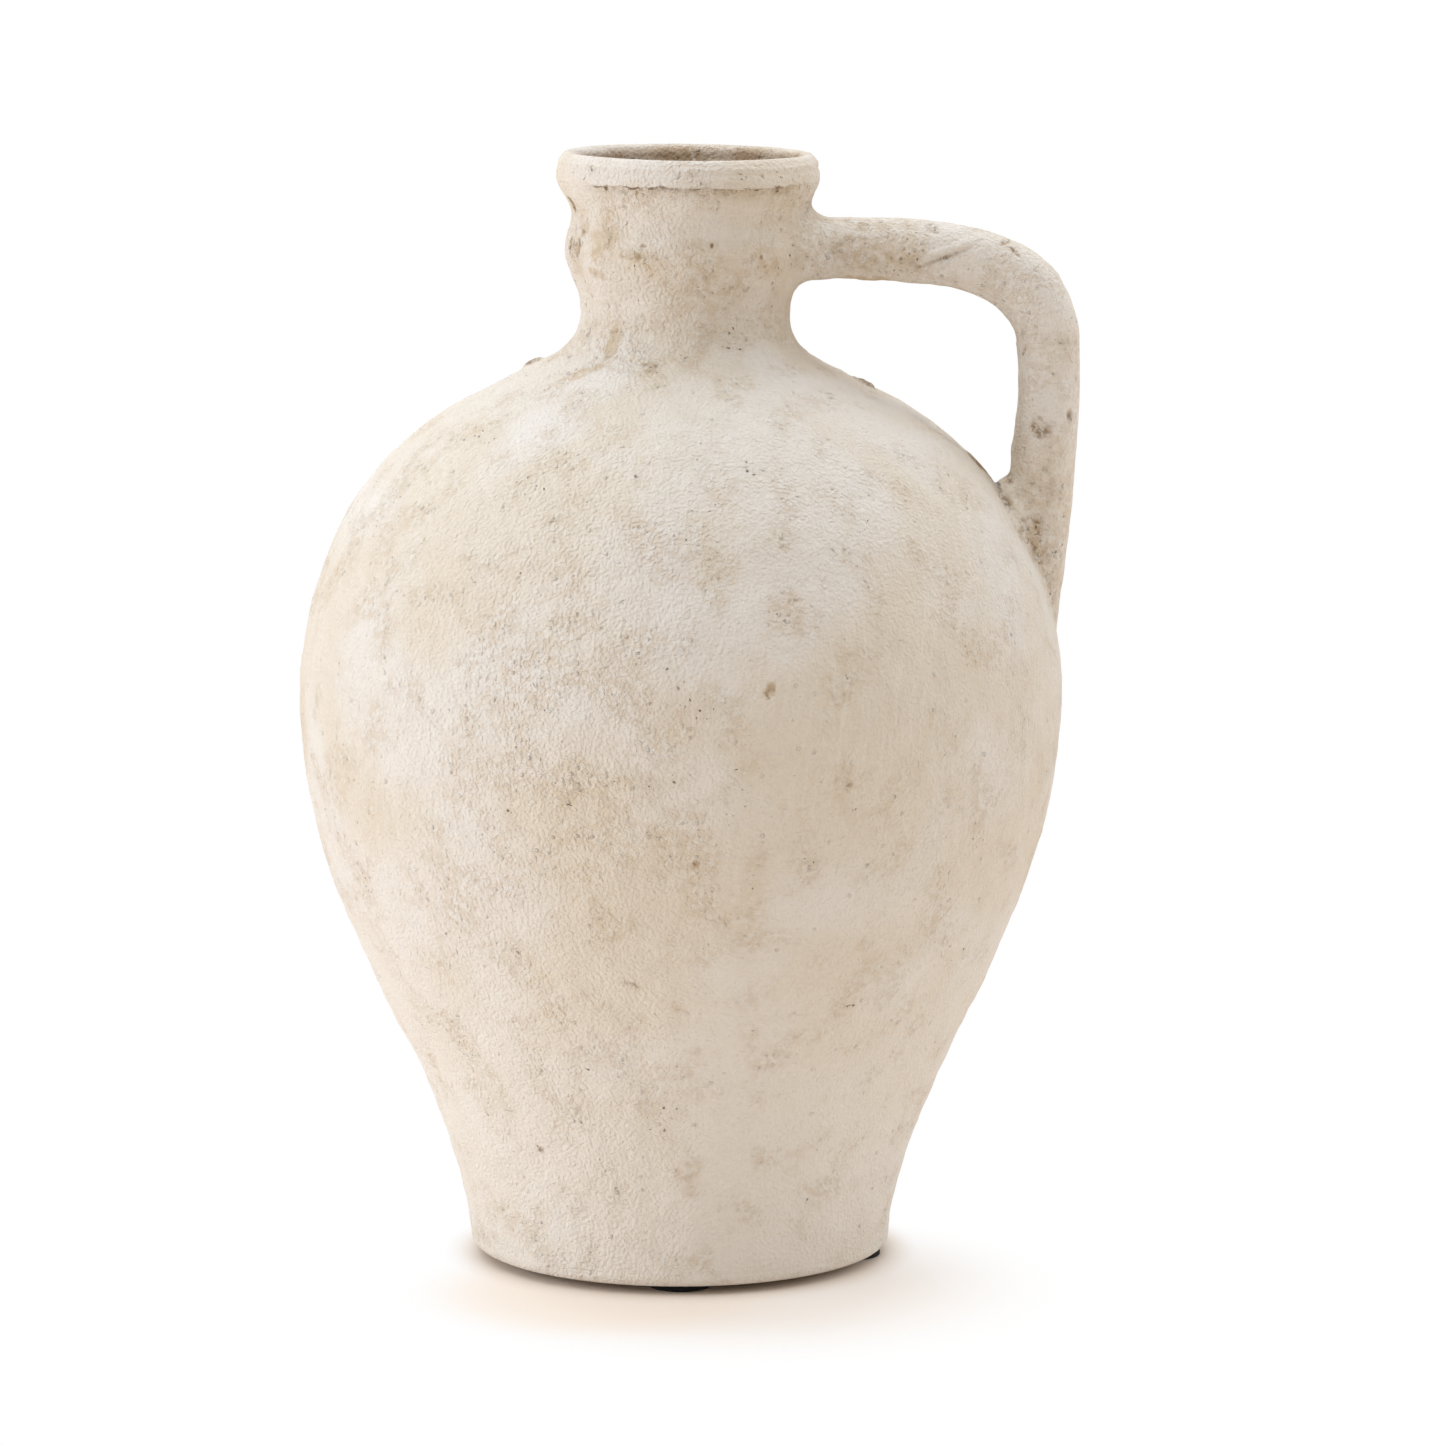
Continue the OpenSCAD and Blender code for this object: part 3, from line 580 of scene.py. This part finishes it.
def base_skin(p):
    """The worked skin on the rounded edge, with chips out of it, fading to an even bare face underneath
    and inside."""
    lift, masks = worked_skin(p)
    z, r = p[..., 2], np.hypot(p[..., 0], p[..., 1])
    edge = step_up(base_z, base_z + edge_round, z) * step_up(spigot_r, foot_r - edge_round, r)
    chips = step_up(0.15, 0.5, clay_lumps(p, 8 * MM, 61, 2)) * step_up(foot_z, base_z + MM, z)
    bare = -0.1 * (1 + clay_noise(p, 15 * MM, 71)) * (z < floor_z - MM)
    rubbed = step_up(foot_r - 2.5 * edge_round, foot_r - 0.8 * edge_round, r) * (z < foot_z + MM)
    masks["wash"] = 0.2 + 0.8 * rubbed
    return np.where(edge > 0, lift * edge - 0.5 * MM * chips * edge, bare * MM), masks


base_strips = [
    turned_clay(even_rows(under_line, rows=70), base_skin),
    turned_clay(even_rows([[spigot_r, foot_z], [spigot_r, floor_z - 0.2 * MM]], rows=4), base_skin),
    turned_clay(even_rows([[spigot_r - 0.2 * MM, floor_z], [middle_r, floor_z]], rows=12), base_skin),
]
base = clay_piece("base", base_strips, ring=False)
base.data.materials.append(chalk)
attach(base, "root")
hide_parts("base_disc")

# The lower wall
# The lower half of the body, thrown as an open bowl from the same clay and set on the base's rim.
# It is washed outside; inside, the throwing rings are left as the fingers made them.
belly_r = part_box("lower_wall")[1].x
belly_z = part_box("lower_wall")[1].z
flank_r = 83.5 * MM
flank_z = foot_z + 66 * MM
foot_slope = np.tan(np.radians(7))
flank_slope = np.tan(np.radians(26))
seam_drop = 5 * MM
socket_r = spigot_r + 0.1 * MM


def hermite(a, slope_a, b, slope_b, length, t):
    """Cubic from a to b with the given slopes at its ends, over a length."""
    return (a * (2 * t ** 3 - 3 * t ** 2 + 1) + slope_a * length * (t ** 3 - 2 * t ** 2 + t)
            + b * (3 * t ** 2 - 2 * t ** 3) + slope_b * length * (t ** 3 - t ** 2))


def bowl_r(z):
    """Outside radius of the bowl: one cubic from the foot to the flank and one on to the belly."""
    low_h, high_h = flank_z - foot_z, belly_z - flank_z
    low = hermite(foot_r, foot_slope, flank_r, flank_slope, low_h, (z - foot_z) / low_h)
    high = hermite(flank_r, flank_slope, belly_r, 0, high_h, (z - flank_z) / high_h)
    return np.where(z < flank_z, low, high)


def bowl_in_r(z):
    """Inside radius of the bowl: one wall thickness in, square to its slope."""
    slope = (bowl_r(z + MM) - bowl_r(z - MM)) / (2 * MM)
    return bowl_r(z) - wall * np.sqrt(1 + slope ** 2)


ring_pitch = 7 * MM
wash_from, wash_to = 0.262, 0.318

# Marks inside the mouth, as on the outside, with only a lift and a coat of wash.
mouth_marks = [(1.5, 31.5, 315, 4.5, 0.5, 70, 0.35, 0.8), (-9, 30, 313, 0.7, 0.6, 0, -0.4, -0.3)]


def thrown_skin(p):
    """The bare inside: level throwing rings, whose height wanders with a broad noise, and soft lumps."""
    turns = p[..., 2] / ring_pitch + 0.6 * clay_noise(p, 60 * MM, 81)
    lumps = clay_lumps(p, 22 * MM, 85, 2)
    lift = -0.25 + 0.2 * np.sin(2 * np.pi * turns) + 0.2 * lumps
    wash = 0.05 + 0.45 * step_up(wash_from, wash_to, p[..., 2] + 8 * MM * lumps)
    for share, (rise, pale) in mark_shares(p, mouth_marks):
        lift = lift + rise * share
        wash = wash + pale * share
    return lift * MM, {"stain": 0.5 * step_up(0.1, 0.8, lumps), "hollow": 0 * lift, "rough": 0.4 + 0 * lift,
                       "wash": wash, "warm": 0 * lift, "crease": crease_reach + 0 * lift}


def line_of(r, z):
    """Radii and heights as one list of points."""
    return np.stack([r, z], axis=1)


heights = np.linspace(foot_z, belly_z, 400)
inner_heights = np.linspace(belly_z - seam_drop, floor_z, 200)
wall_strips = [
    turned_clay(even_rows(line_of(bowl_r(heights), heights), rows=140), worked_skin),
    turned_clay(even_rows(line_of(bowl_in_r(inner_heights), inner_heights), rows=18), thrown_skin),
    turned_clay(even_rows([[socket_r, floor_z], [socket_r, foot_z]], rows=3), base_skin),
]
lower_wall = clay_piece("lower_wall_clay", wall_strips, ring=True)
lower_wall.data.materials.append(chalk)
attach(lower_wall, "root")
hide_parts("lower_wall")

# The shoulder
# The upper half of the body, thrown as a dome, turned over and set into the lower wall's bevel.
# The joint is slipped and scraped flush, so that the wash runs straight over it.
root_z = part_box("shoulder")[1].z
dome_h = 104 * MM
root_angle = np.arcsin((root_z - belly_z) / dome_h)


def dome_line(a, inset=0.0):
    """An ellipse up from the belly, moved in along its own normal by the inset."""
    normal = np.stack([np.cos(a) / belly_r, np.sin(a) / dome_h], axis=1)
    normal /= np.linalg.norm(normal, axis=1, keepdims=True)
    return line_of(belly_r * np.cos(a), belly_z + dome_h * np.sin(a)) - inset * normal


rise = np.linspace(0, root_angle, 300)
seam_heights = np.linspace(belly_z, belly_z - seam_drop, 10)
dome_inside = np.vstack([dome_line(rise[::-1], wall), line_of(bowl_in_r(seam_heights), seam_heights)[1:]])
shoulder_strips = [
    turned_clay(even_rows(dome_line(rise), rows=138), worked_skin),
    turned_clay(even_rows(dome_inside, rows=18), thrown_skin),
]
shoulder = clay_piece("shoulder_clay", shoulder_strips, ring=True)
shoulder.data.materials.append(chalk)
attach(shoulder, "root")
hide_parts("shoulder")

# The neck collar
# A thrown ring of clay with a flared root, slipped onto the shoulder and smoothed into it by thumb.
# Its outside swells under the rim, and the straight throat inside is bare clay.
waist = np.array([30, 274.95]) * MM
bulge = np.array([35.2, 292.45]) * MM
groove = np.array([33.5, 301.95]) * MM
rim_widest = np.array([37.7, 312.95]) * MM
throat_r = 23.5 * MM
throat_z = 263.45 * MM
throat_top_z = 299.95 * MM
mouth = np.array([31.5, 316.95]) * MM
rim_seam_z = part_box("neck_collar")[1].z


def bezier(p, q, r, s, t):
    """Cubic Bezier curve from p to s."""
    t = t[:, None]
    return (1 - t) ** 3 * p + 3 * (1 - t) ** 2 * t * q + 3 * (1 - t) * t ** 2 * r + t ** 3 * s


def half_wave(a, b, t):
    """From a to b along half a cosine wave."""
    return a + (b - a) * (1 - np.cos(np.pi * np.asarray(t)[..., None])) / 2


def wave_line(low, high, t):
    """A line whose radius follows half a wave while its height rises evenly."""
    return line_of(half_wave(low[:1], high[:1], t)[:, 0], low[1] + (high[1] - low[1]) * t)


def dome_tangent(a):
    """The way along the dome's outline, upwards, as a unit vector."""
    way = np.array([-belly_r * np.sin(a), dome_h * np.cos(a)])
    return way / np.linalg.norm(way)


def mouth_r(z):
    """Inside radius above the throat: half a wave from the throat out to the mouth."""
    return half_wave(throat_r, mouth[0], (z - throat_top_z) / (mouth[1] - throat_top_z))[..., 0]


up = np.linspace(0, 1, 80)
root = dome_line(np.array([root_angle]))[0]
root_in = dome_line(np.array([root_angle]), wall)[0]
throat_low = np.array([throat_r, throat_z])
root_flare, throat_flare = 17 * MM * dome_tangent(root_angle), 15 * MM * dome_tangent(root_angle)
to_seam = np.linspace(0, (rim_seam_z - groove[1]) / (rim_widest[1] - groove[1]), 60)
neck_outside = np.vstack([
    bezier(root, root + root_flare, waist - [0, 15 * MM], waist, up),
    wave_line(waist, bulge, up)[1:],
    wave_line(bulge, groove, up)[1:],
    wave_line(groove, rim_widest, to_seam)[1:],
])
down = np.linspace(rim_seam_z, throat_top_z, 40)
neck_inside = np.vstack([
    line_of(mouth_r(down), down),
    bezier(root_in, root_in + throat_flare, throat_low - [0, 8 * MM], throat_low, up)[::-1],
])
neck_strips = [
    turned_clay(even_rows(neck_outside, rows=120), worked_skin),
    turned_clay(even_rows(neck_inside, rows=36), thrown_skin),
]
neck = clay_piece("neck_collar_clay", neck_strips, ring=True)
neck.data.materials.append(chalk)
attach(neck, "root")
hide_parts("neck_collar")

# The rim
# A rolled coil of clay laid on the collar and pressed down, which leaves a broken crease under it.
# Its lip is wiped round with a wet cloth, and the wash runs a little way into the mouth.
crest = np.array([34.3, 319.95]) * MM
over_lip = np.linspace(0, np.pi / 2, 60)
from_seam = np.linspace(to_seam[-1], 1, 20)
into_mouth = np.linspace(mouth[1], rim_seam_z, 30)
rim_line = np.vstack([
    wave_line(groove, rim_widest, from_seam),
    line_of(crest[0] + (rim_widest[0] - crest[0]) * np.cos(over_lip),
            rim_widest[1] + (crest[1] - rim_widest[1]) * np.sin(over_lip))[1:],
    line_of(crest[0] + (mouth[0] - crest[0]) * np.sin(over_lip),
            mouth[1] + (crest[1] - mouth[1]) * np.cos(over_lip))[1:],
    line_of(mouth_r(into_mouth), into_mouth)[1:],
])


def rim_skin(p):
    """The worked skin outside, which gives way to the thrown skin from the crest in to the mouth."""
    inward = step_up(crest[0], mouth[0], np.hypot(p[..., 0], p[..., 1]))
    inward = np.where(np.hypot(p[..., 0], p[..., 1]) > mouth[0], inward, 1)
    lift, masks = worked_skin(p)
    lift_in, masks_in = thrown_skin(p)
    mixed = {key: masks[key] * (1 - inward) + masks_in[key] * inward for key in masks}
    return lift * (1 - inward) + lift_in * inward, mixed


rim = clay_piece("rim_clay", [turned_clay(even_rows(rim_line, rows=80), rim_skin)], ring=True)
rim.data.materials.append(chalk)
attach(rim, "root")
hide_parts("rim_roll")

# The handle
# A strap of clay pulled by hand, bent over and pressed onto the neck and the shoulder.
# Soft clay is worked round both joints, so that the handle runs into the body under the wash.
handle_points = np.array([[30, 291.5], [45, 291.9], [64, 291.3], [82, 288.9], [96.1, 282.5], [103.7, 271.3],
                          [105.2, 256], [104.6, 236], [102.6, 214], [100, 192], [97.5, 176]]) * MM
handle_rows = 380
handle_columns = 180
handle_thick = 18.4 * MM
handle_wide = 24 * MM
bend_swell = 1.6 * MM
squareness = 0.8
inner_share = 0.95
upper_fillets = {"top": 7 * MM, "under": 3.5 * MM, "side": 10 * MM}
lower_fillets = {"inner": 9 * MM, "outer": 3 * MM}
corner_fill = 4.5 * MM
corner_from, corner_to = 7 * MM, 1.5 * MM
joint_dirt = 9 * MM
strap_rough = 0.25
strap_marks = [
    (50, -12, 292, 12, 7, 0, -0.1, 0.7, 0.12, 0.8),
    (64, -12, 289, 8, 4, 5, -0.1, 0.5, 0.15, 0.6),
    (52, -11, 283.4, 16, 1.6, -2, 0.0, 1.2, 0.05, 0.3),
    (75, -11, 281.2, 10, 1.4, -9, 0.0, 1.0, 0.05, 0.3),
    (56, -9, 299, 14, 1.2, 0, 0.0, 0.7, 0.1, 0.6),
    (76, -12, 290.6, 10, 1.0, 20, -1.2, 0.6, 0.3, 0.1),
    (78, -12, 293.4, 10, 1.8, 20, 0.9, 0.0, 0.0, 0.0),
    (72, -11, 298, 3, 2, -20, -0.3, 0.7, 0.3, 0.7),
    (92, -11.5, 294.2, 3.2, 0.7, 15, -0.5, 0.6, 0.5, 0.3),
    (95.5, -11.5, 291.5, 3.0, 0.6, -45, -0.5, 0.6, 0.5, 0.3),
    (97.5, -11.5, 263.2, 1.8, 0.6, 60, -0.5, 0.2, 0.8, 0.0),
    (103.5, -11.5, 242.0, 5.0, 4.5, -30, -0.1, 0.9, 0.45, 1.0),
    (111, -8, 245.5, 1.6, 2.4, 0, -0.4, 0.9, 0.8, 0.9),
    (98, -12, 238, 4, 9, 0, 0.0, 0.25, 0.04, 0.7),
    (102, -12, 224, 7, 11, 0, -0.1, 0.12, 0.02, 0.9),
    (104, -12, 214, 6.0, 18.0, 5, 0.0, 0.12, 0.02, 0.9),
    (94.3, -12, 225.5, 3.0, 4.0, 0, -0.1, 0.5, 0.3, 1.0),
    (105.4, -12, 224.3, 3.0, 3.5, 0, -0.1, 0.4, 0.25, 0.9),
    (100.9, -12, 212.3, 4.5, 6.0, 0, -0.2, 0.5, 0.3, 1.0),
    (101.6, -12, 203.1, 4.0, 7.0, 0, -0.1, 0.5, 0.25, 0.9),
    (107, -12, 205, 3, 9, 5, 0.0, 0.25, 0.05, 0.8),
]


def smooth_path(points, rows):
    """Curve through points: between each two a cubic, with slopes of half the step between the
    neighbours, respaced evenly."""
    slopes = np.gradient(points, axis=0)
    t = np.linspace(0, 1, 40, endpoint=False)[:, None]
    spans = [hermite(points[k], slopes[k], points[k + 1], slopes[k + 1], 1, t)
             for k in range(len(points) - 1)]
    return even_rows(np.vstack([*spans, points[-1:]]), rows)


body_line = np.vstack([line_of(bowl_r(heights), heights), dome_line(rise)[1:], neck_outside[1:]])


def off_body(p):
    """Distance out from the body's plain outside, and that side's normal: the radius beyond the outline's
    at the same height, times the cosine of the outline's slope."""
    x, y, z = np.moveaxis(upright(p), -1, 0)
    slopes = np.gradient(body_line[:, 0], body_line[:, 1])
    slope = np.interp(z, body_line[:, 1], slopes)
    cosine = 1 / np.sqrt(1 + slope ** 2)
    r = np.hypot(x, y)
    normal = np.stack([x / r, y / r, -slope], axis=-1) * cosine[..., None]
    return (r - np.interp(z, body_line[:, 1], body_line[:, 0])) * cosine, normal


def softened(v):
    """A cosine or sine made squarer, by a power of its size."""
    return np.sign(v) * np.abs(v) ** squareness


path = smooth_path(handle_points, handle_rows)
way = np.gradient(path, axis=0)
way /= np.linalg.norm(way, axis=1, keepdims=True)
side = np.linspace(0, 2 * np.pi, handle_columns, endpoint=False)
bend_x, bend_z, bend_reach = 97 * MM, 279 * MM, 16 * MM
swell = bend_swell * np.exp(-((path[:, 0] - bend_x) ** 2 + (path[:, 1] - bend_z) ** 2) / bend_reach ** 2)
inner_cut = np.where(np.cos(side) > 0, 1, inner_share)
half_thick = (handle_thick + swell)[:, None] / 2 * softened(np.cos(side)) * inner_cut
half_wide = -handle_wide / 2 * softened(np.sin(side)) + 0 * half_thick
strap = np.stack([path[:, :1] - way[:, 1:] * half_thick, half_wide,
                  path[:, 1:] + way[:, :1] * half_thick], axis=-1)
strap_out = grid_normals(strap)

# Each joint has a fillet: where the strap comes nearer to the body than the fillet's radius, it spreads
# along the body by a quarter circle, and there it takes on the body's own skin.
upper_fillet = np.where(np.cos(side) > 0, upper_fillets["top"], upper_fillets["under"])
upper_fillet = upper_fillet + (upper_fillets["side"] - upper_fillet) * np.sin(side) ** 6
inner_side = step_up(0.2, -0.8, np.cos(side))
lower_fillet = lower_fillets["outer"] + (lower_fillets["inner"] - lower_fillets["outer"]) * inner_side
lower_half = np.arange(handle_rows)[:, None] > handle_rows / 2
fillet = np.where(lower_half, lower_fillet, upper_fillet)
off, body_out = off_body(strap)
body_lift, body_masks = worked_skin(upright(strap - off[..., None] * body_out))
near = np.clip(1 - (off - body_lift) / fillet, 0, 1)
flare = fillet * (1 - np.sqrt(1 - near ** 2))
flare = flare + corner_fill * inner_side * lower_half * step_up(corner_from, corner_to, off)
along_body = strap_out - (strap_out * body_out).sum(axis=-1, keepdims=True) * body_out
strap_lift, strap_masks = worked_skin(strap, strap_marks, (0, -1))
strap = strap + along_body * flare[..., None] + strap_out * (strap_lift * (1 - near))[..., None]
off_now, body_out = off_body(strap)
strap = strap + body_out * ((off - off_now) * near)[..., None]
strap_normals = grid_normals(strap)
dirt = lower_half * step_up(joint_dirt, 0.1 * joint_dirt, off + 3 * MM * clay_lumps(strap, 9 * MM, 97, 3))
strap_masks["stain"] = strap_masks["stain"] - 0.2 + 0.5 * dirt
strap_masks["warm"] = 0 * near
caked = dirt * step_up(-0.2, 0.5, clay_lumps(strap, 5 * MM, 99, 2))
strap_masks["hollow"] = strap_masks["hollow"] + 0.25 * caked
strap_masks["rough"] = strap_masks["rough"] + np.maximum(dirt, strap_rough) * (1 - strap_masks["rough"])
blend_in = step_up(0.6, 1, near)
strap_normals = strap_normals + (body_out - strap_normals) * blend_in[..., None]
strap_normals /= np.linalg.norm(strap_normals, axis=-1, keepdims=True)
strap_masks = {key: m + (body_masks[key] - m) * blend_in for key, m in strap_masks.items()}
handle = clay_piece("handle_clay", [(strap, strap_normals, strap_masks)], ring=False)
handle.data.materials.append(chalk)
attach(handle, "root")
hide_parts("handle", "handle_upper_lute", "handle_lower_lute")

# The inner coils
# Two ropes of soft clay, pressed into the seams at the floor and at the belly from inside.
# They are bare clay and show only through the mouth.


def raw_clay():
    """Bare fired clay: two browns in soft patches, with darker low places and pits, and deep holes
    painted near black as painted shade inside them.
    """
    material, tree, where = new_finish("raw_clay")
    grain = put(tree, "Group", node_tree=grain_group).outputs
    patches = noise(tree, where, 60, 4, 0.6)
    colour = over(tree, between(tree, patches, 0.35, 0.65), tone("9C7F60"), tone("B59A7B"))
    colour = over(tree, times(tree, grain["Low"], 0.4), colour, tone("86694C"))
    colour = over(tree, grain["Pit"], colour, tone("6E553D"))
    # Painted shade: near black in the deep holes, for the shade inside them.
    colour = over(tree, grain["Deep"], colour, tone("2E251C"))
    bump = put(tree, "Bump", Strength=1.0, Distance=MM, Height=grain["Height"]).outputs[0]
    shader = put(tree, "BsdfPrincipled", Base_Color=colour, Normal=bump, Roughness=0.92,
                 Specular_IOR_Level=0.25)
    put(tree, "OutputMaterial", shader.outputs[0])
    return material


bare = raw_clay()
for node in ("base_seam_coil", "belly_seam_coil"):
    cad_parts[node].data.materials.clear()
    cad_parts[node].data.materials.append(bare)

# The pads
# Four stick-on discs of black closed-cell foam under the base, pressed on by hand.
# Each has a thin film of adhesive, a little smaller than the pad.
pad_round = 0.5 * MM
pad_hub = 0.2


def pad_foam():
    """Black foam: fine cells in the bump and a slightly dusty colour."""
    material, tree, where = new_finish("pad_foam")
    cells = put(tree, "TexVoronoi", Vector=where, Scale=2600).outputs["Distance"]
    dust = noise(tree, where, 400, 3, 0.6)
    colour = over(tree, between(tree, dust, 0.45, 0.75, 0, 0.5), tone("141414"), tone("33302C"))
    bump = put(tree, "Bump", Strength=0.4, Distance=0.2 * MM, Height=cells).outputs[0]
    shader = put(tree, "BsdfPrincipled", Base_Color=colour, Normal=bump, Roughness=0.85,
                 Specular_IOR_Level=0.3)
    put(tree, "OutputMaterial", shader.outputs[0])
    return material


foam = pad_foam()
round_off = np.linspace(0, np.pi / 2, 6)
pad_side = np.linspace(0, 2 * np.pi, 96, endpoint=False)
for node in ("pad_front", "pad_right", "pad_back", "pad_left"):
    low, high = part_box(node)
    pad_r = (high.x - low.x) / 2
    pad_line = np.vstack([
        [pad_hub * pad_r, low.z],
        line_of(pad_r - pad_round * (1 - np.sin(round_off)), low.z + pad_round * (1 - np.cos(round_off))),
        line_of(pad_r - pad_round * (1 - np.cos(round_off)), high.z - pad_round * (1 - np.sin(round_off))),
        [pad_hub * pad_r, high.z],
    ])
    r, z = pad_line[:, :1], pad_line[:, 1:]
    middle = (np.array(low) + np.array(high)) / 2
    disc = np.stack([middle[0] + r * np.cos(pad_side), middle[1] + r * np.sin(pad_side),
                     z + 0 * pad_side], axis=-1)
    pad = clay_piece(node + "_foam", [(disc, grid_normals(disc), {})], ring=False)
    pad.data.materials.append(foam)
    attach(pad, "root")
    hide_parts(node)


def adhesive_film():
    """Cloudy pale film with fine trapped bubbles."""
    material, tree, where = new_finish("adhesive")
    cloud = noise(tree, where, 500, 3, 0.6)
    colour = over(tree, between(tree, cloud, 0.4, 0.65), tone("CFC9B8"), tone("DDD9CC"))
    shader = put(tree, "BsdfPrincipled", Base_Color=colour, Roughness=0.4)
    put(tree, "OutputMaterial", shader.outputs[0])
    return material


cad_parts["pad_adhesive"].data.materials.clear()
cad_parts["pad_adhesive"].data.materials.append(adhesive_film())

# The floor, light and camera
# A plain white floor under a large soft light on the left, a weaker one on the right and one above.
# The floor takes the shadow close to the vase and turns to plain white a little way off.
floor_half = 15.0
shade_at, shade_from, shade_to = (0.017, -0.047, 0), 0.03, 0.095
gap_from, gap_to = 0.056, 0.07
least_white = 0.35
# Painted shade: the floor's white is tinted warm near a point in front of the foot on the left, for a warm
# shadow there.
warm_shadow_at, warm_shadow_from, warm_shadow_to = (-0.02, -0.055, 0), 0.03, 0.06
floor_mesh = bpy.data.meshes.new("floor")
floor_corners = [(-floor_half, -floor_half, 0), (floor_half, -floor_half, 0), (floor_half, floor_half, 0),
                 (-floor_half, floor_half, 0)]
floor_mesh.from_pydata(floor_corners, [], [(0, 1, 2, 3)])
floor = bpy.data.objects.new("floor", floor_mesh)
bpy.context.scene.collection.objects.link(floor)
paper = bpy.data.materials.new("paper")
paper.use_nodes = True
tree = paper.node_tree
tree.nodes.clear()
place = put(tree, "TexCoord").outputs["Object"]
away = put(tree, "VectorMath", place, operation="LENGTH").outputs["Value"]
from_front = put(tree, "VectorMath", place, shade_at, operation="DISTANCE").outputs["Value"]
# Painted light: beyond the foot's edge, white emission seen by the camera covers the real shadow, at least
# least_white of it near a point in front of the foot and all of it further off, so the shadow seen is paler
# and shaped by these masks.
plain = times(tree, between(tree, away, gap_from, gap_to),
              between(tree, from_front, shade_from, shade_to, least_white, 1))
rays = put(tree, "LightPath").outputs
seen = sums(tree, "MAXIMUM", rays["Is Camera Ray"], rays["Is Glossy Ray"])
from_warm_shadow = put(tree, "VectorMath", place, warm_shadow_at, operation="DISTANCE").outputs["Value"]
painted_warm_shadow = over(tree, between(tree, from_warm_shadow, warm_shadow_from, warm_shadow_to), tone("FFF4E9"), (1, 1, 1, 1))
white = put(tree, "Emission", Color=painted_warm_shadow, Strength=1.0).outputs[0]
matt = put(tree, "BsdfDiffuse", Color=tone("F9EDE1")).outputs[0]
mixed = put(tree, "MixShader", times(tree, plain, seen), matt, white).outputs[0]
put(tree, "OutputMaterial", mixed)
floor_mesh.materials.append(paper)

aim = np.array([0, 0, 0.17])


def soft_light(name, place, size, power, colour):
    """A square soft light that faces the middle of the vase."""
    lamp = bpy.data.lights.new(name, "AREA")
    lamp.size = size
    lamp.energy = power
    lamp.color = colour
    holder = bpy.data.objects.new(name, lamp)
    bpy.context.scene.collection.objects.link(holder)
    holder.location = place
    to_aim = holder.location.copy()
    to_aim.xyz = aim - np.array(place)
    holder.rotation_euler = to_aim.to_track_quat("-Z", "Y").to_euler()


cool, warm = (0.93, 1.0, 1.09), (1.05, 1.0, 0.93)
soft_light("key_left", (-1.5, -0.3, 0.3), 0.9, 12.5, cool)
soft_light("fill_right", (1.5, 0.35, 0.4), 1.3, 7.1, cool)
soft_light("top_back", (0, 0.55, 1.8), 1.6, 16.0, cool)
soft_light("top_front", (-0.2, -0.5, 1.7), 1.6, 8.3, cool)

world = bpy.data.worlds.new("studio")
bpy.context.scene.world = world
world.use_nodes = True
tree = world.node_tree
tree.nodes.clear()
rays = put(tree, "LightPath").outputs
seen = sums(tree, "MAXIMUM", rays["Is Camera Ray"], rays["Is Glossy Ray"])
dim = put(tree, "Background", Color=(*warm, 1), Strength=0.54).outputs[0]
bright = put(tree, "Background", Color=(1, 1, 1, 1), Strength=1.0).outputs[0]
put(tree, "OutputWorld", put(tree, "MixShader", seen, dim, bright).outputs[0])

camera = bpy.data.objects.new("camera", bpy.data.cameras.new("camera"))
bpy.context.scene.collection.objects.link(camera)
camera.location = (0.0121, -1.9, 0.453)
camera.rotation_euler = (np.radians(81.09), 0, 0)
camera.data.sensor_width = 36
camera.data.lens = 166.2
bpy.context.scene.camera = camera
bpy.context.scene.view_settings.view_transform = "Standard"
